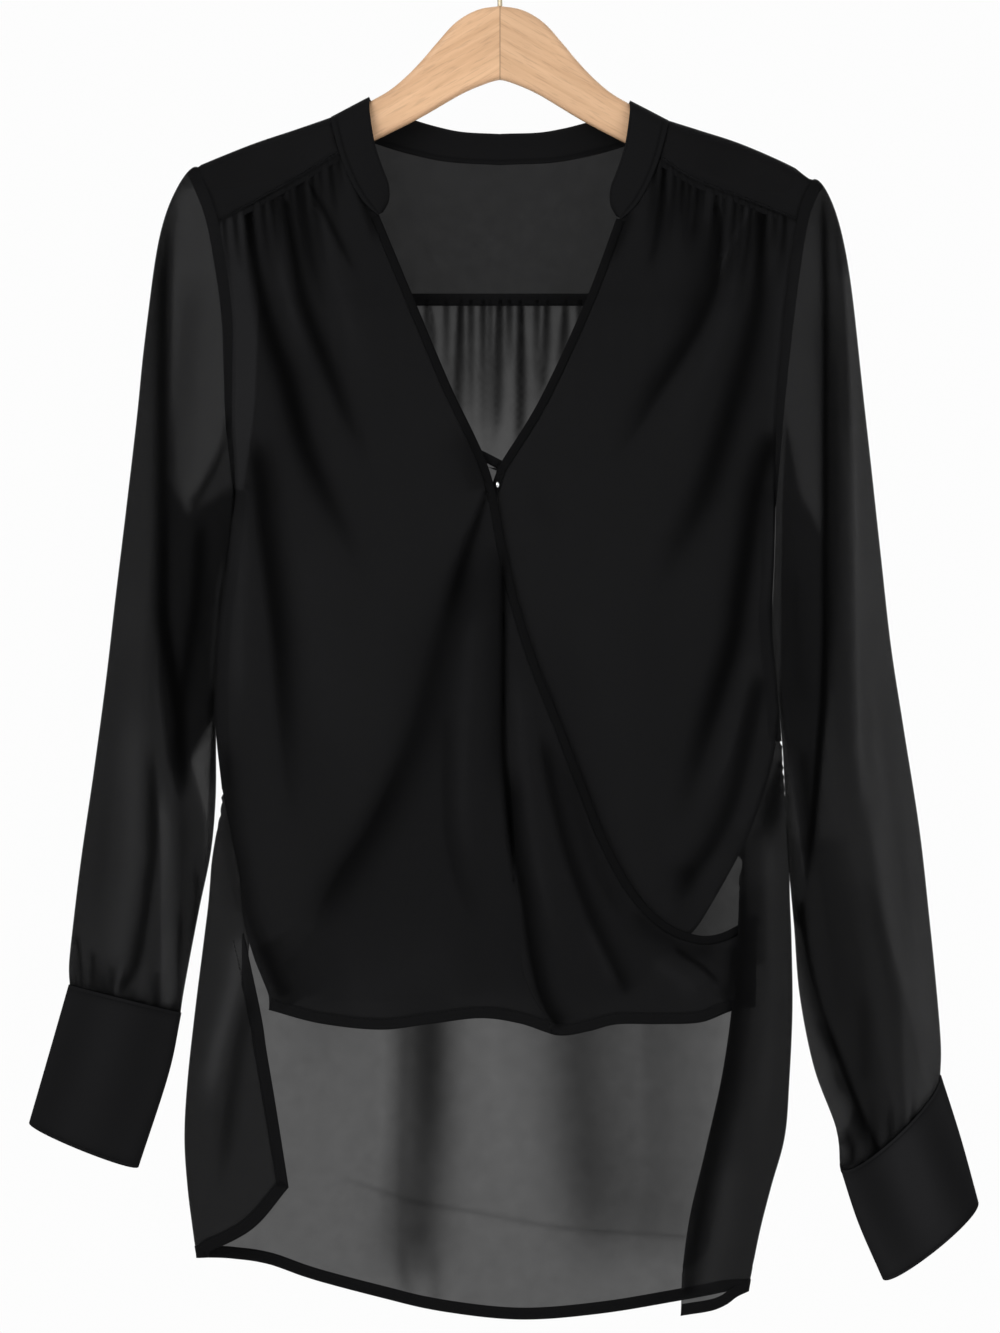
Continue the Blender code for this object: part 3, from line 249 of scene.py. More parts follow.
BAND_EDGE_TOP = 121.5       # drop of its free edge at the top
BAND_EDGE_HALF = 8.5        # half depth of that edge just below, then in front and behind
BAND_EDGE_FRONT = 15.0
BAND_EDGE_BACK = 16.0

# ---------------------------------------------------------------- sleeves and cuffs
# outer across, outer drop, inner across, inner drop, half depth, and how far the inner edge is
# tucked behind the torso's side
SLEEVE = {
    LEFT: [
        (-208, 176, -174.6, 386, 15, 0), (-217, 194, -173.8, 398, 17, 2),
        (-222.5, 214, -175.0, 412, 18, 4), (-227, 249, -177.2, 432, 19, 6),
        (-232, 290, -181.4, 455, 19, 7), (-236, 330, -184.1, 480, 19, 7),
        (-243, 390, -185.0, 515, 18.5, 7), (-250, 448, -184.9, 545, 18, 7),
        (-256, 500, -185.2, 578, 17.5, 6), (-264, 560, -188.2, 612, 17, 4),
        (-272, 615, -195.5, 648, 16, 2), (-277.5, 660, -202, 682, 14, 0),
        (-280, 685, -206, 704, 11.5, 0), (-279.6, 697, -207.6, 715, 9.5, 0)],
    RIGHT: [
        (216, 188, 180.6, 390, 15, 0), (223, 208, 179.4, 404, 17, 2),
        (227, 232, 178.8, 418, 18, 4), (231, 268, 177.8, 440, 19, 6),
        (236, 315, 176.5, 468, 19, 7), (241, 360, 178.9, 500, 19, 7),
        (247.5, 420, 183.6, 540, 18.5, 7), (254, 478, 185.8, 580, 18, 8),
        (262, 530, 187.9, 620, 17.5, 8), (272.5, 597, 191.4, 660, 17, 5),
        (279, 655, 195.0, 705, 16, 3), (284, 705, 204.3, 752, 14, 1),
        (286.5, 738, 218.5, 790, 11.5, 0), (286, 755.5, 221, 813, 9.5, 0)],
}
CUFF = {  # the same, and how far the middle of the front sags below the sides
    LEFT: [(-279.7, 698.2, -207.7, 716.2, 9.5, 0.0), (-292.5, 743, -216, 756, 9.5, 2.0),
           (-305.5, 788, -235.5, 816, 9.5, 4.0)],
    RIGHT: [(286, 756.9, 221.4, 814.2, 9.5, 14.0), (299, 798, 233, 850, 10, 12.0),
            (310.5, 840, 249, 887.5, 10.5, 9.0)],
}

# ---------------------------------------------------------------- hanger
WOOD_UPPER = [(0, 62), (-14.5, 64.5), (-28.5, 72.5), (-41, 86), (-49.5, 96), (-60, 107),
              (-72, 117), (-86, 125), (-108.5, 137.5), (-133, 146.5), (-158.5, 155),
              (-186, 166.5)]
WOOD_TIP = [(-186, 166.5), (-190.5, 171), (-191, 177), (-186, 181)]
WOOD_LOWER = [(-186, 181), (-172, 180), (-130, 170), (-104, 160), (-82.5, 150), (-52.5, 135),
              (-24.5, 119), (-6.5, 111.5), (0, 110)]
WOOD_RIGHT_DROP = 2.0
HOOK_SHANK = [(8.5, 39.5), (1.8, 45.5), (0.0, 52.0), (0.0, 64.0)]
TAB_LINE = [(-17.5, 352.0), (-9, 356), (1.5, 361.5)]

# ---------------------------------------------------------------- folds
# Each is a line of (across, drop) points, its half widths to the left and right, its height (a
# trough is below 0), how much painted shade it puts into the cloth's colour (below 0, a painted
# highlight), which also makes the cloth cover more, and the share of its length over which it
# fades in and out.
FOLDS_OVER = [
    # fans out of the shoulder gathers
    ([(-164, 193.5), (-160, 225), (-154.4, 253), (-147, 280), (-138, 305), (-131.5, 330),
      (-126, 350), (-115.5, 375), (-103, 400), (-87, 436)], (6.5, 6), -3.2, 2.0, (0.02, 0.5)),
    ([(-139, 188), (-134, 220.5), (-128, 253), (-119, 279), (-108.5, 305), (-97, 335),
      (-80.5, 367)], (4, 5), -2.6, 1.6, (0.02, 0.5)),
    ([(-130.5, 176.5), (-127, 198), (-123, 220.5), (-118.5, 243.5), (-113, 266)],
     (3, 3.5), -1.6, 0.8, (0.02, 0.5)),
    ([(-125, 176), (-118.5, 188), (-112.5, 198.5), (-102, 220.5), (-90.5, 242.5)],
     (1.8, 2.6), -1.2, 1.2, (0.02, 0.5)),
    ([(-97.5, 165.5), (-93, 178.5), (-87, 193.5), (-83, 206.5), (-78, 224)],
     (2.2, 4), -1.4, 1.1, (0.02, 0.5)),
    ([(-148, 190), (-145.5, 214), (-139.5, 246.5), (-130.5, 272.5), (-121, 305)],
     (3.5, 3.5), 1.6, -0.35, (0.1, 0.4)),
    ([(-115.5, 185), (-110.5, 220.5), (-101, 259.5), (-88, 292), (-75, 318)],
     (7, 8), 2.2, -0.22, (0.1, 0.4)),
    # down the left side
    ([(-162, 337.5), (-158, 360), (-153.5, 402.5), (-149, 435), (-144.5, 474), (-141.5, 513),
      (-138, 558.5), (-132, 610.5)], (4, 9), -2.8, 1.5, (0.1, 0.6)),
    ([(-169, 383), (-169, 435), (-170.5, 487), (-169, 532.5)], (6, 5), 1.8, -0.35, (0.2, 0.3)),
    ([(-130, 396), (-123.5, 448), (-114, 513), (-104, 565)], (12, 20), 1.8, -0.14, (0.3, 0.4)),
    ([(-179.5, 532.5), (-175, 590), (-169.5, 620.5), (-164, 651), (-154.5, 675.5), (-140, 708)],
     (3, 6), -1.4, 0.75, (0.15, 0.03)),
    ([(-154.5, 669), (-143, 695), (-135, 711.5)], (6, 14), -0.8, 0.6, (0.1, 0.02)),
    # from the crossing to the lower left
    ([(-24.5, 331), (-15.5, 354), (-9, 375.5)], (12, 4), -1.2, 0.5, (0.4, 0.02)),
    ([(-8, 375.5), (-13, 393), (-22, 419), (-31, 451.5), (-37, 474)],
     (3.6, 3.6), -3.2, 1.4, (0.02, 0.5)),
    ([(-17, 406), (-29, 448), (-40.5, 487), (-50.5, 526), (-65, 562), (-84.5, 599),
      (-101, 623.5), (-114, 644.5), (-125, 668)], (8, 12), -3.0, 0.85, (0.15, 0.18)),
    ([(-62, 547), (-84.5, 597.5), (-104, 627.5), (-122, 662.5)], (1.6, 9), -1.2, 0.3, (0.3, 0.2)),
    ([(-15.5, 448), (-21, 500), (-24, 552), (-22, 597.5), (-18, 630)],
     (7, 6), 2.4, -0.3, (0.15, 0.3)),
    ([(-34.5, 506.5), (-35, 565), (-32.5, 610.5), (-21, 646.5), (-15, 666)],
     (2.5, 7), -1.4, 0.35, (0.25, 0.3)),
    # both sides of the centre pleat
    ([(2.5, 412.5), (2.5, 474), (2.5, 539), (4.5, 571.5), (8, 610.5), (11.5, 640)],
     (2.1, 1.5), -2.4, 1.9, (0.1, 0.2)),
    ([(-2.5, 409), (-2, 474), (-1.5, 539), (0, 591)], (6, 5), -1.0, 0.45, (0.1, 0.3)),
    ([(4.5, 552), (9, 604), (15.5, 643), (20, 675.5), (28, 708), (40.5, 727.5)],
     (2, 6.5), -2.6, 1.4, (0.15, 0.04)),
    ([(9, 480.5), (15.5, 552), (22, 604), (31, 649.5), (43, 682)], (4, 7), 2.6, -0.3, (0.2, 0.3)),
    ([(26, 531.5), (31, 558.5), (37, 586), (43.5, 610.5), (52, 635.5), (63, 662.5), (74, 685.5),
      (86.5, 710)], (2.6, 6), -2.8, 1.0, (0.12, 0.12)),
    ([(39, 545.5), (52, 591), (66.5, 630), (86, 662.5)], (4, 9), -1.4, 0.35, (0.2, 0.2)),
    ([(57, 659.5), (67.5, 679), (78, 698.5)], (5, 5), 1.4, -0.3, (0.2, 0.2)),
    # towards the hem
    ([(83, 646.5), (101, 662.5), (123.5, 674.5), (146, 673)], (8, 3), -1.0, 0.6, (0.2, 0.2)),
    ([(112, 672.5), (123.5, 681), (132, 686.5), (142.5, 697)], (1.4, 1.4), -1.2, 0.9,
     (0.12, 0.12)),
    ([(97.5, 679), (114, 692), (130, 705)], (6, 6), 1.2, -0.25, (0.2, 0.2)),
    ([(153, 672.5), (151.5, 692), (145.5, 709.5)], (6, 3), -0.8, 0.6, (0.05, 0.1)),
    ([(-110.5, 701.5), (-65, 692), (-19.5, 682)], (26, 26), 0.6, -0.2, (0.2, 0.2)),
]
FOLDS_UNDER = [
    ([(106, 164), (105.5, 181.5), (104, 198), (101, 217.5), (95, 243.5)],
     (3.2, 3.2), -1.8, 1.2, (0.02, 0.5)),
    ([(84.5, 196), (78, 214), (69, 235)], (3, 3), -0.8, 0.8, (0.1, 0.5)),
    ([(140.5, 188), (143, 211), (140, 243.5), (130, 269.5), (115.5, 293.5), (101, 315),
      (88, 337.5), (73, 362.5)], (8, 2.8), -3.0, 1.25, (0.04, 0.42)),
    ([(130, 198), (131.5, 227), (125, 259.5), (110.5, 282.5)], (9, 8), -1.0, 0.35, (0.1, 0.4)),
    ([(162.5, 191.5), (154.5, 209), (145.5, 227), (139, 246.5)], (2.4, 3), 1.8, -0.45,
     (0.1, 0.4)),
    ([(169.5, 192), (169.5, 220), (168, 253), (163, 279), (156.5, 305), (148.5, 331),
      (136.5, 370), (127, 392), (117.5, 409), (108, 430), (96, 452)],
     (8, 7.5), -3.2, 1.35, (0.03, 0.4)),
    ([(157.5, 228.5), (148, 266), (134, 298.5), (118.5, 331), (106.5, 357)],
     (7, 7), 2.0, -0.14, (0.15, 0.4)),
    ([(183.5, 214), (181.5, 272.5), (179, 318), (175.5, 350.5)], (4, 3), 1.4, -0.25, (0.1, 0.3)),
    ([(178, 335), (174, 352), (168.5, 370), (162.5, 409), (156.5, 448), (152.5, 474),
      (140.5, 513), (130, 545.5), (119.5, 578), (109, 601)], (7.5, 5), -3.4, 1.6, (0.06, 0.4)),
    ([(178, 376.5), (175, 422), (171.5, 461)], (2.5, 2), 1.6, -0.4, (0.2, 0.3)),
    ([(171.5, 492.5), (166.5, 516.5), (161, 540.5), (155.5, 565), (148, 588), (138, 607.5),
      (125, 626), (112, 648.5)], (7, 4), -2.4, 1.0, (0.1, 0.15)),
    ([(167.5, 474), (160, 506.5), (152, 536), (143, 562), (132, 582)], (4, 4), 2.2, -0.22,
     (0.15, 0.3)),
    ([(123.5, 617), (117, 640), (115.5, 659.5)], (12, 8), -1.0, 0.45, (0.2, 0.05)),
    ([(22, 374), (29, 389.5), (39, 406)], (7, 7), -1.0, 0.1, (0.2, 0.4)),
    ([(39, 448), (58.5, 506.5), (81, 558.5)], (26, 26), 1.2, -0.08, (0.2, 0.3)),
    ([(49, 253), (39, 282.5), (31, 318)], (6, 6), 1.0, -0.12, (0.2, 0.3)),
]
FOLDS_BACK = [
    ([(-50, 420), (-48, 560), (-47, 700), (-46.8, 740), (-47.5, 786), (-52, 838), (-55, 906)],
     (19, 15), -3.0, 0.6, (0.15, 0.1)),
    ([(-50, 560), (-47, 700), (-47.5, 770), (-50, 830)], (9, 8), -1.0, 0.3, (0.3, 0.3)),
    ([(-66, 862), (-63, 885), (-60, 905)], (4, 4), -0.6, 0.16, (0.5, 0.04)),
    ([(-44, 862), (-43, 885), (-42, 905)], (4, 4), -0.6, 0.14, (0.5, 0.04)),
    ([(-61, 708), (-62, 773), (-63.5, 838), (-62, 896.5)], (3, 4), -0.8, 0.08, (0.1, 0.2)),
    ([(44, 440), (47, 580), (50, 714.5), (53, 773), (58, 825), (64, 906)],
     (19, 20), -2.6, 0.44, (0.15, 0.2)),
    ([(98, 430), (98, 700), (98, 890)], (32, 32), -1.5, 0.3, (0.1, 0.1)),
    ([(-117, 420), (-117, 700), (-115, 790)], (14, 14), -1.5, 0.17, (0.1, 0.4)),
    # below the yoke, in the neck opening
    ([(-45, 255), (-44, 275), (-43, 300)], (1.6, 1.8), -1.0, 0.6, (0.02, 0.5)),
    ([(-26, 255), (-27, 285), (-28, 318), (-27, 350)], (2.4, 3.0), -1.2, 0.75, (0.02, 0.4)),
    ([(-1, 255), (-2, 290), (-2, 325), (-4, 355)], (2.4, 2.4), -1.0, 0.6, (0.02, 0.4)),
    ([(14, 255), (13.5, 290), (13, 330), (10, 356)], (2.2, 2.8), -1.2, 0.9, (0.02, 0.3)),
    ([(30, 255), (29, 290), (26, 325)], (2.2, 2.4), -1.0, 0.7, (0.02, 0.4)),
    ([(42, 255), (41, 280), (38, 302)], (2.2, 2.2), -1.0, 0.7, (0.02, 0.4)),
    ([(-8, 300), (-8, 500), (-6.5, 708), (0, 786), (6.5, 877)], (18, 18), 3.2, -0.12, (0.1, 0.2)),
    ([(-80, 330), (-78, 520), (-76, 700), (-80, 880)], (9, 12), 3.0, -0.10, (0.1, 0.2)),
    ([(88, 330), (86, 520), (90, 700), (92, 880)], (13, 10), 3.0, -0.10, (0.1, 0.2)),
    ([(-132, 330), (-138, 520), (-142, 700), (-140, 850)], (16, 12), 2.6, -0.05, (0.1, 0.2)),
    ([(150, 340), (150, 520), (148, 700), (138, 850)], (12, 14), 2.6, -0.05, (0.1, 0.2)),
    ([(-109, 823), (-83, 831.5), (-58.5, 840), (-13, 848), (39, 857.5), (91, 861.5),
      (130, 863.5)], (1.0, 1.0), 0.7, 0.08, (0.1, 0.05)),
]
FOLDS_FLAP = {
    LEFT: [
        ([(-168, 660), (-172.5, 695), (-183.5, 740), (-193.5, 786)], (6, 6), 1.2, -0.85,
         (0.12, 0.3)),
        ([(-160.5, 698.5), (-169.5, 740), (-176, 786), (-183, 831.5)],
         (4.5, 4.5), -2.0, 0.7, (0.15, 0.3)),
        ([(-196, 660), (-199, 720), (-200, 770)], (6, 6), 0.3, 0.25, (0.2, 0.3)),
        ([(-180.5, 578), (-174, 617), (-167, 653)], (6, 2), -1.0, 0.5, (0.1, 0.1))],
    RIGHT: [
        ([(158, 598), (157, 620), (156.5, 653), (154, 693), (149.5, 740.5), (139, 792.5), (128.5, 849),
          (119.5, 903)], (3, 7), -0.8, 1.2, (0.03, 0.03)),
        ([(164, 623.5), (164, 682), (159, 734), (150, 779.5), (140.5, 825)], (7, 12), -1.4, 0.35,
         (0.1, 0.3)),
        ([(177, 597.5), (178, 662.5), (177, 721), (171.5, 773), (162.5, 825)], (7, 6), 2.2,
         -0.22, (0.1, 0.3)),
        ([(151, 800), (143, 858), (131, 897)], (9, 9), 0.6, -0.35, (0.3, 0.05)),
        ([(182.5, 553.5), (180, 568), (175.5, 588), (171, 612)], (7, 7), -1.2, 1.7,
         (0.02, 0.5))],
}
FOLDS_SLEEVE = {
    (LEFT, FRONT): [
        ([(-212, 190), (-216.5, 220), (-218.5, 260), (-218.5, 330), (-218.5, 383), (-218.5, 448),
          (-217, 468), (-211, 500), (-207, 526), (-206.5, 552), (-203, 580)], (5, 3.4), -2.8, 2.0,
         (0.15, 0.1)),
        ([(-209.5, 188), (-212.5, 227), (-214, 272.5), (-215, 318)], (1.3, 1.8), -0.8, 0.45,
         (0.1, 0.4)),
        ([(-176, 325), (-178, 342), (-183.5, 359), (-191, 374), (-200, 388)], (2.4, 1.8), -1.4,
         1.2, (0.15, 0.05)),
        ([(-190, 388), (-194, 408), (-195, 430), (-198, 461), (-205, 506), (-206, 530)],
         (4, 4.5), -2.2, 1.1, (0.2, 0.2)),
        ([(-187, 500), (-187, 526), (-187.5, 552), (-191, 580)], (2.4, 2.4), -1.4, 1.5,
         (0.2, 0.3)),
        ([(-180.5, 419), (-185, 461), (-188, 506.5)], (1.4, 1.2), 0.8, -0.6, (0.2, 0.2)),
        ([(-221, 560), (-218.5, 610), (-218, 656), (-218, 690), (-219, 712)], (1.8, 7), 2.0, -1.4,
         (0.3, 0.03)),
        ([(-236, 500), (-238, 610), (-244.5, 656), (-252, 692)], (11, 9), 2.0, -0.5,
         (0.3, 0.1)),
        ([(-226, 532.5), (-224.5, 604), (-227.5, 635), (-231, 660), (-236, 686), (-239.5, 693),
          (-247, 704)], (4, 2.2), -2.2, 1.35, (0.25, 0.03)),
        ([(-275.6, 663), (-273, 676), (-271.5, 699)], (1.5, 1.5), -1.0, 0.9, (0.2, 0.02)),
        ([(-263.5, 672), (-264, 686), (-264.5, 700)], (2.2, 1.7), -1.2, 0.9, (0.3, 0.02)),
        ([(-258.5, 690), (-256, 703)], (1.5, 1.5), -1.0, 0.8, (0.3, 0.02)),
        ([(-251.5, 685), (-252, 704)], (1.6, 1.6), -1.0, 0.55, (0.3, 0.02)),
        ([(-244, 682), (-250, 704.5)], (1.6, 1.6), 1.2, -0.7, (0.3, 0.02)),
        ([(-230.5, 680), (-232.5, 708)], (2.2, 2.2), 1.4, -0.45, (0.3, 0.02)),
        ([(-237, 700), (-239, 708)], (2, 2), -0.8, 0.8, (0.3, 0.02)),
        ([(-222.3, 688), (-223.5, 712)], (2.5, 2), -1.0, 0.6, (0.3, 0.02)),
        ([(-207, 640), (-208.5, 682), (-208.5, 702), (-211, 716)], (1.6, 1.6), -1.0, 0.9,
         (0.3, 0.02)),
        ([(-198, 618), (-197, 643), (-201, 672)], (2.0, 1.6), -1.0, 0.8, (0.2, 0.3)),
        ([(-208, 572), (-205.5, 597.5), (-206, 643), (-208, 695)], (3, 6), -1.4, 0.42,
         (0.2, 0.2)),
        ([(-201, 551), (-195.5, 575), (-191, 599), (-193.5, 618.5)], (1.4, 1.8), 1.0, -0.5,
         (0.1, 0.2)),
        ([(-243, 422), (-248.5, 513), (-255, 610.5)], (11, 10), 2.5, -0.12, (0.2, 0.3))],
    (LEFT, BACK): [
        ([(-200, 230), (-212, 360), (-222, 470), (-226, 560)], (5, 9), -2.6, 0.5, (0.1, 0.3)),
        ([(-216, 300), (-232, 450), (-246, 620)], (8, 7), 2.4, -0.15, (0.1, 0.3)),
        ([(-198, 430), (-206, 540), (-218, 680)], (4, 7), -2.2, 0.4, (0.15, 0.1)),
        ([(-244, 460), (-256, 580), (-264, 660)], (6, 5), -1.8, 0.3, (0.2, 0.2))],
    (RIGHT, FRONT): [
        ([(209.5, 181.5), (210.5, 227), (211, 285.5), (211, 350.5), (211, 422), (211, 474),
          (209, 519.5), (205.5, 560), (202, 604), (199, 643)], (1.8, 2.4), -2.4, 2.0,
         (0.05, 0.12)),
        ([(215, 230), (216, 300), (216, 396), (214, 474), (211, 550)], (4, 5.5), -1.8, 0.9,
         (0.3, 0.3)),
        ([(221, 198), (226, 253), (229, 318), (231, 396), (232, 474), (233.5, 552),
          (234.5, 610.5)], (1.6, 2), 1.8, -0.55, (0.15, 0.2)),
        ([(216, 191.5), (222.5, 253), (225, 318), (226, 370)], (1.8, 1.2), -1.0, 0.4, (0.1, 0.3)),
        ([(238, 448), (240, 552), (242.5, 617)], (2, 5), -1.0, 0.22, (0.2, 0.2)),
        ([(188, 542.5), (192, 578), (195.5, 610.5), (199, 633.5)], (1.8, 2.2), 1.5, -0.5,
         (0.15, 0.15)),
        ([(194.5, 539), (199, 578), (201, 620.5)], (2.4, 4), -1.2, 0.6, (0.2, 0.2)),
        ([(196, 640), (199, 675.5), (207, 711.5), (218, 740.5), (227.5, 765.5), (235.3, 784),
          (241, 795), (248, 811)], (5, 1.8), -2.6, 1.9, (0.06, 0.03)),
        ([(206, 720), (213, 734), (218, 747)], (3, 2), -1.2, 0.9, (0.2, 0.2)),
        ([(216, 752), (223, 768)], (3, 2), -1.2, 0.8, (0.2, 0.2)),
        ([(221, 793), (227.5, 800), (229.5, 806), (227.5, 815)], (1.6, 1.6), -1.4, 1.3,
         (0.15, 0.02)),
        ([(237, 790), (240.5, 799), (245.5, 812)], (1.6, 1.6), 1.4, -0.9, (0.3, 0.02)),
        ([(223, 800), (223.5, 812)], (2.6, 2.6), 1.4, -0.6, (0.3, 0.02)),
        ([(234, 794), (235, 812)], (3.0, 3.0), 1.4, -0.4, (0.3, 0.02)),
        ([(266.5, 768), (265.2, 783), (261.5, 798)], (1.5, 1.5), 1.2, -0.6, (0.3, 0.02)),
        ([(268.5, 776), (267, 787), (263.5, 797)], (1.5, 1.5), -1.0, 0.6, (0.3, 0.02)),
        ([(275.5, 745), (278.3, 768)], (1.5, 1.5), 1.2, -0.5, (0.3, 0.1)),
        ([(235.3, 700), (236.5, 740), (235.5, 765)], (5, 5), -1.0, 0.35, (0.2, 0.2)),
        ([(254, 772), (253, 803)], (2.0, 2.0), -1.0, 0.6, (0.4, 0.02)),
        ([(235.5, 623.5), (247, 656), (258.5, 698.5), (268, 734), (273, 770)], (11, 2.2), -1.5,
         0.38, (0.15, 0.15)),
        ([(264, 643), (274.5, 695), (279.5, 740.5)], (5, 5), 1.6, -0.25, (0.2, 0.2)),
        ([(188.5, 422), (192, 474), (195, 526)], (6, 8), -1.0, 0.25, (0.2, 0.2))],
    (RIGHT, BACK): [
        ([(206, 240), (214, 380), (222, 520), (228, 620)], (5, 9), -2.6, 0.5, (0.1, 0.3)),
        ([(224, 320), (240, 480), (256, 640)], (8, 7), 2.4, -0.15, (0.1, 0.3)),
        ([(200, 470), (208, 590), (224, 730)], (4, 7), -2.2, 0.4, (0.15, 0.1)),
        ([(248, 480), (262, 620), (270, 700)], (6, 5), -1.8, 0.3, (0.2, 0.2))],
}
# lighter or denser areas: an outline, how soft its edge is, a factor on how much the cloth
# covers, and how much painted shade it adds to the cloth's colour (below 0, painted light)
ZONES_OVER = [
    ([(-180.5, 188), (-164.5, 191.5), (-161, 207.5), (-158, 233.5), (-157, 255.5), (-157.5, 279),
      (-159, 318), (-162.5, 349.5), (-167, 376.5), (-175, 376.5), (-180.5, 305), (-184.5, 253)],
     1.0, 0.85, -0.65),
]
ZONES_BACK = [
    ([(118, 676), (126, 652), (140, 628), (152, 600), (170, 596), (172, 684), (143, 690)],
     4.0, 1.45, 0.0),
]
ZONES_SLEEVE = {
    (LEFT, FRONT): [
        ([(-215, 372), (-203, 393), (-196, 388), (-187, 383), (-178, 377), (-168, 372),
          (-168, 396), (-180, 435), (-180, 480.5), (-184, 513), (-190, 539), (-201, 551),
          (-207, 580), (-215, 552), (-221, 500), (-219, 430)], 2.2, 1.7, 0.5),
        ([(-209, 182), (-195, 178), (-184, 198), (-179, 227), (-170, 266), (-170, 318),
          (-172, 338), (-180, 350), (-187, 362), (-197, 380), (-204, 388), (-209, 374),
          (-213, 318), (-214, 253), (-212.6, 207)], 3.0, 0.62, -0.3),
        ([(-201, 549.5), (-186.5, 523), (-190, 592.5)], 1.0, 0.4, 0.0)],
    (RIGHT, FRONT): [
        ([(186, 334.5), (193, 376.5), (209.5, 409), (212, 513), (206.5, 578), (199, 630),
          (188.5, 558.5), (182, 513), (183.5, 383)], 1.0, 1.8, 0.25),
        ([(222, 240), (226.5, 300), (227.5, 350), (228.5, 448), (230, 545), (242, 610),
          (250, 662), (260, 708), (262, 760), (264, 790), (305, 760), (300, 660), (290, 560),
          (270, 448), (260, 350), (250, 250), (235, 205)], 4.0, 0.62, -0.6),
        ([(188, 604), (222, 604), (236, 676), (247, 747), (254, 790), (227, 810), (205, 750),
          (190, 690)], 7.0, 1.25, 0.35),
        ([(190, 655), (196, 662), (202, 692), (208, 712), (215, 735), (223, 757), (230, 775),
          (226, 790), (214, 800), (200, 757), (190, 708)], 1.5, 0.6, -0.9),
        ([(184, 290), (190, 225), (203, 205), (207, 230), (208, 330), (208, 400), (197, 385),
          (190, 345), (183, 325)], 4.0, 0.85, -0.3)],
    (LEFT, BACK): [],
    (RIGHT, BACK): [],
}
# gathers: their places along the seam, how they lean and bend below it, their longest reach,
# their depth and how much painted shade they put into their troughs
GATHERS = {
    "over": ([-179, -172, -165, -162, -154, -148, -144.5, -141, -136.5, -132, -128, -122, -117,
              -110, -105], 0.05, 0.0012, 84.0, 1.9, 1.7),
    "under": ([101, 107, 114, 119, 123.5, 128.5, 132, 140.5, 146, 153, 157.5, 163, 167, 172, 179,
               185], -0.05, -0.0012, 84.0, 1.9, 1.7),
    "back": ([-168, -159, -151, -142, -131, -124, -113, -104, -92, -83, -71, -60, -47.5, -35,
              -25.5, -19, -11, -6.5, 0, 6, 13, 24, 31, 43, 52, 64, 77, 86, 97, 110, 118, 129,
              141, 149, 160, 170, 178], 0.0, 0.0, 120.0, 1.7, 0.8),
    "cuff": ([3 + 9.2 * k + 2.2 * math.sin(3.7 * k) for k in range(15)], 0.0, 0.0, 50.0, 1.8,
             0.5),
}
GATHER_NARROW, GATHER_WIDE = 1.35, 3.2   # half widths of a gather at its seam and at its end


# ---------------------------------------------------------------- curves
def spline(before, start, end, after, t):
    """A place between start and end, on a smooth curve through all four."""
    return 0.5 * (2 * start + (end - before) * t + (2 * before - 5 * start + 4 * end - after) * t * t
                  + (3 * start - before - 3 * end + after) * t ** 3)


def curve(rows, spacing):
    """Points about `spacing` apart on a smooth curve through the rows, ends included."""
    knots = [np.array(row, float) for row in rows]
    knots = [2 * knots[0] - knots[1]] + knots + [2 * knots[-1] - knots[-2]]
    points = [knots[1]]
    for before, start, end, after in zip(knots, knots[1:], knots[2:], knots[3:]):
        steps = max(1, round(float(np.linalg.norm(end - start)) / spacing))
        for t in np.arange(1, steps + 1) / steps:
            points.append(spline(before, start, end, after, t))
    return np.array(points)


def lookup(rows, column=1):
    """A smooth function of the rows' first column that gives another column."""
    dense = curve(rows, 2.0)
    dense = dense[np.argsort(dense[:, 0])]
    return lambda key: np.interp(key, dense[:, 0], dense[:, column])


def across_at(rows):
    """The across value of an outline as a function of drop."""
    return lookup([(drop, across) for across, drop in rows])


def between(value, low, high):
    """A smooth 0 to 1 step between two limits."""
    t = np.clip((value - low) / (high - low), 0.0, 1.0)
    return t * t * (3 - 2 * t)


def scatter(index, salt):
    """An even-looking number from 0 to 1 for each index, always the same."""
    return math.modf(math.sin(index * 12.9898 + salt * 78.233) * 43758.5453)[0] % 1.0


ridge_drop = lookup(RIDGE)
torso_left, torso_right, torso_middle = (lookup(TORSO, column) for column in (1, 2, 3))
armhole_across = {end: across_at(ARMHOLE[end]) for end in (LEFT, RIGHT)}
gather_drop = {end: lookup(GATHER_SEAM[end]) for end in (LEFT, RIGHT)}
flap_in_right = across_at(FLAP_RIGHT_IN)
pleat_across = across_at(CENTRE_PLEAT)
underturn_width = lookup(UNDERTURN)
over_left = across_at(ARMHOLE[LEFT][2:] + SIDE_SEAM[LEFT][1:] + OVER_SIDE[1:-1])
flap_in_left = across_at(FLAP_LEFT_IN)
under_low_across = across_at(UNDER_LOW[:8])
under_low_drop = lookup(UNDER_LOW[6:])


# ---------------------------------------------------------------- the torso's surface
def edge_depth(end, drop):
    """Half depth of the torso at its left or right end: armhole, side seam or rounded fold."""
    top, low = ARMHOLE[end][0][1], ARMHOLE[end][-1][1]
    share = np.clip((drop - top) / (low - top), 0.0, 1.0)
    armhole = ARMHOLE_DEPTH * np.sqrt(1 - share ** 3)
    fold = (FLAP_RADIUS - FOLD_GAP) * between(drop, SIDE_SEAM[end][-1][1] + 4, 625)
    return FOLD_GAP + armhole + fold


def below_ridge(below, half, full):
    """Half depth at a distance below a rounded ridge, from `half` slowly up to `full`."""
    rounding = np.sqrt(1 - (1 - np.minimum(below / RIDGE_ROUND, 1.0)) ** 2)
    narrow = np.minimum(half, full)
    return narrow * rounding + (full - narrow) * (1 - np.exp(-below / RIDGE_SPREAD))


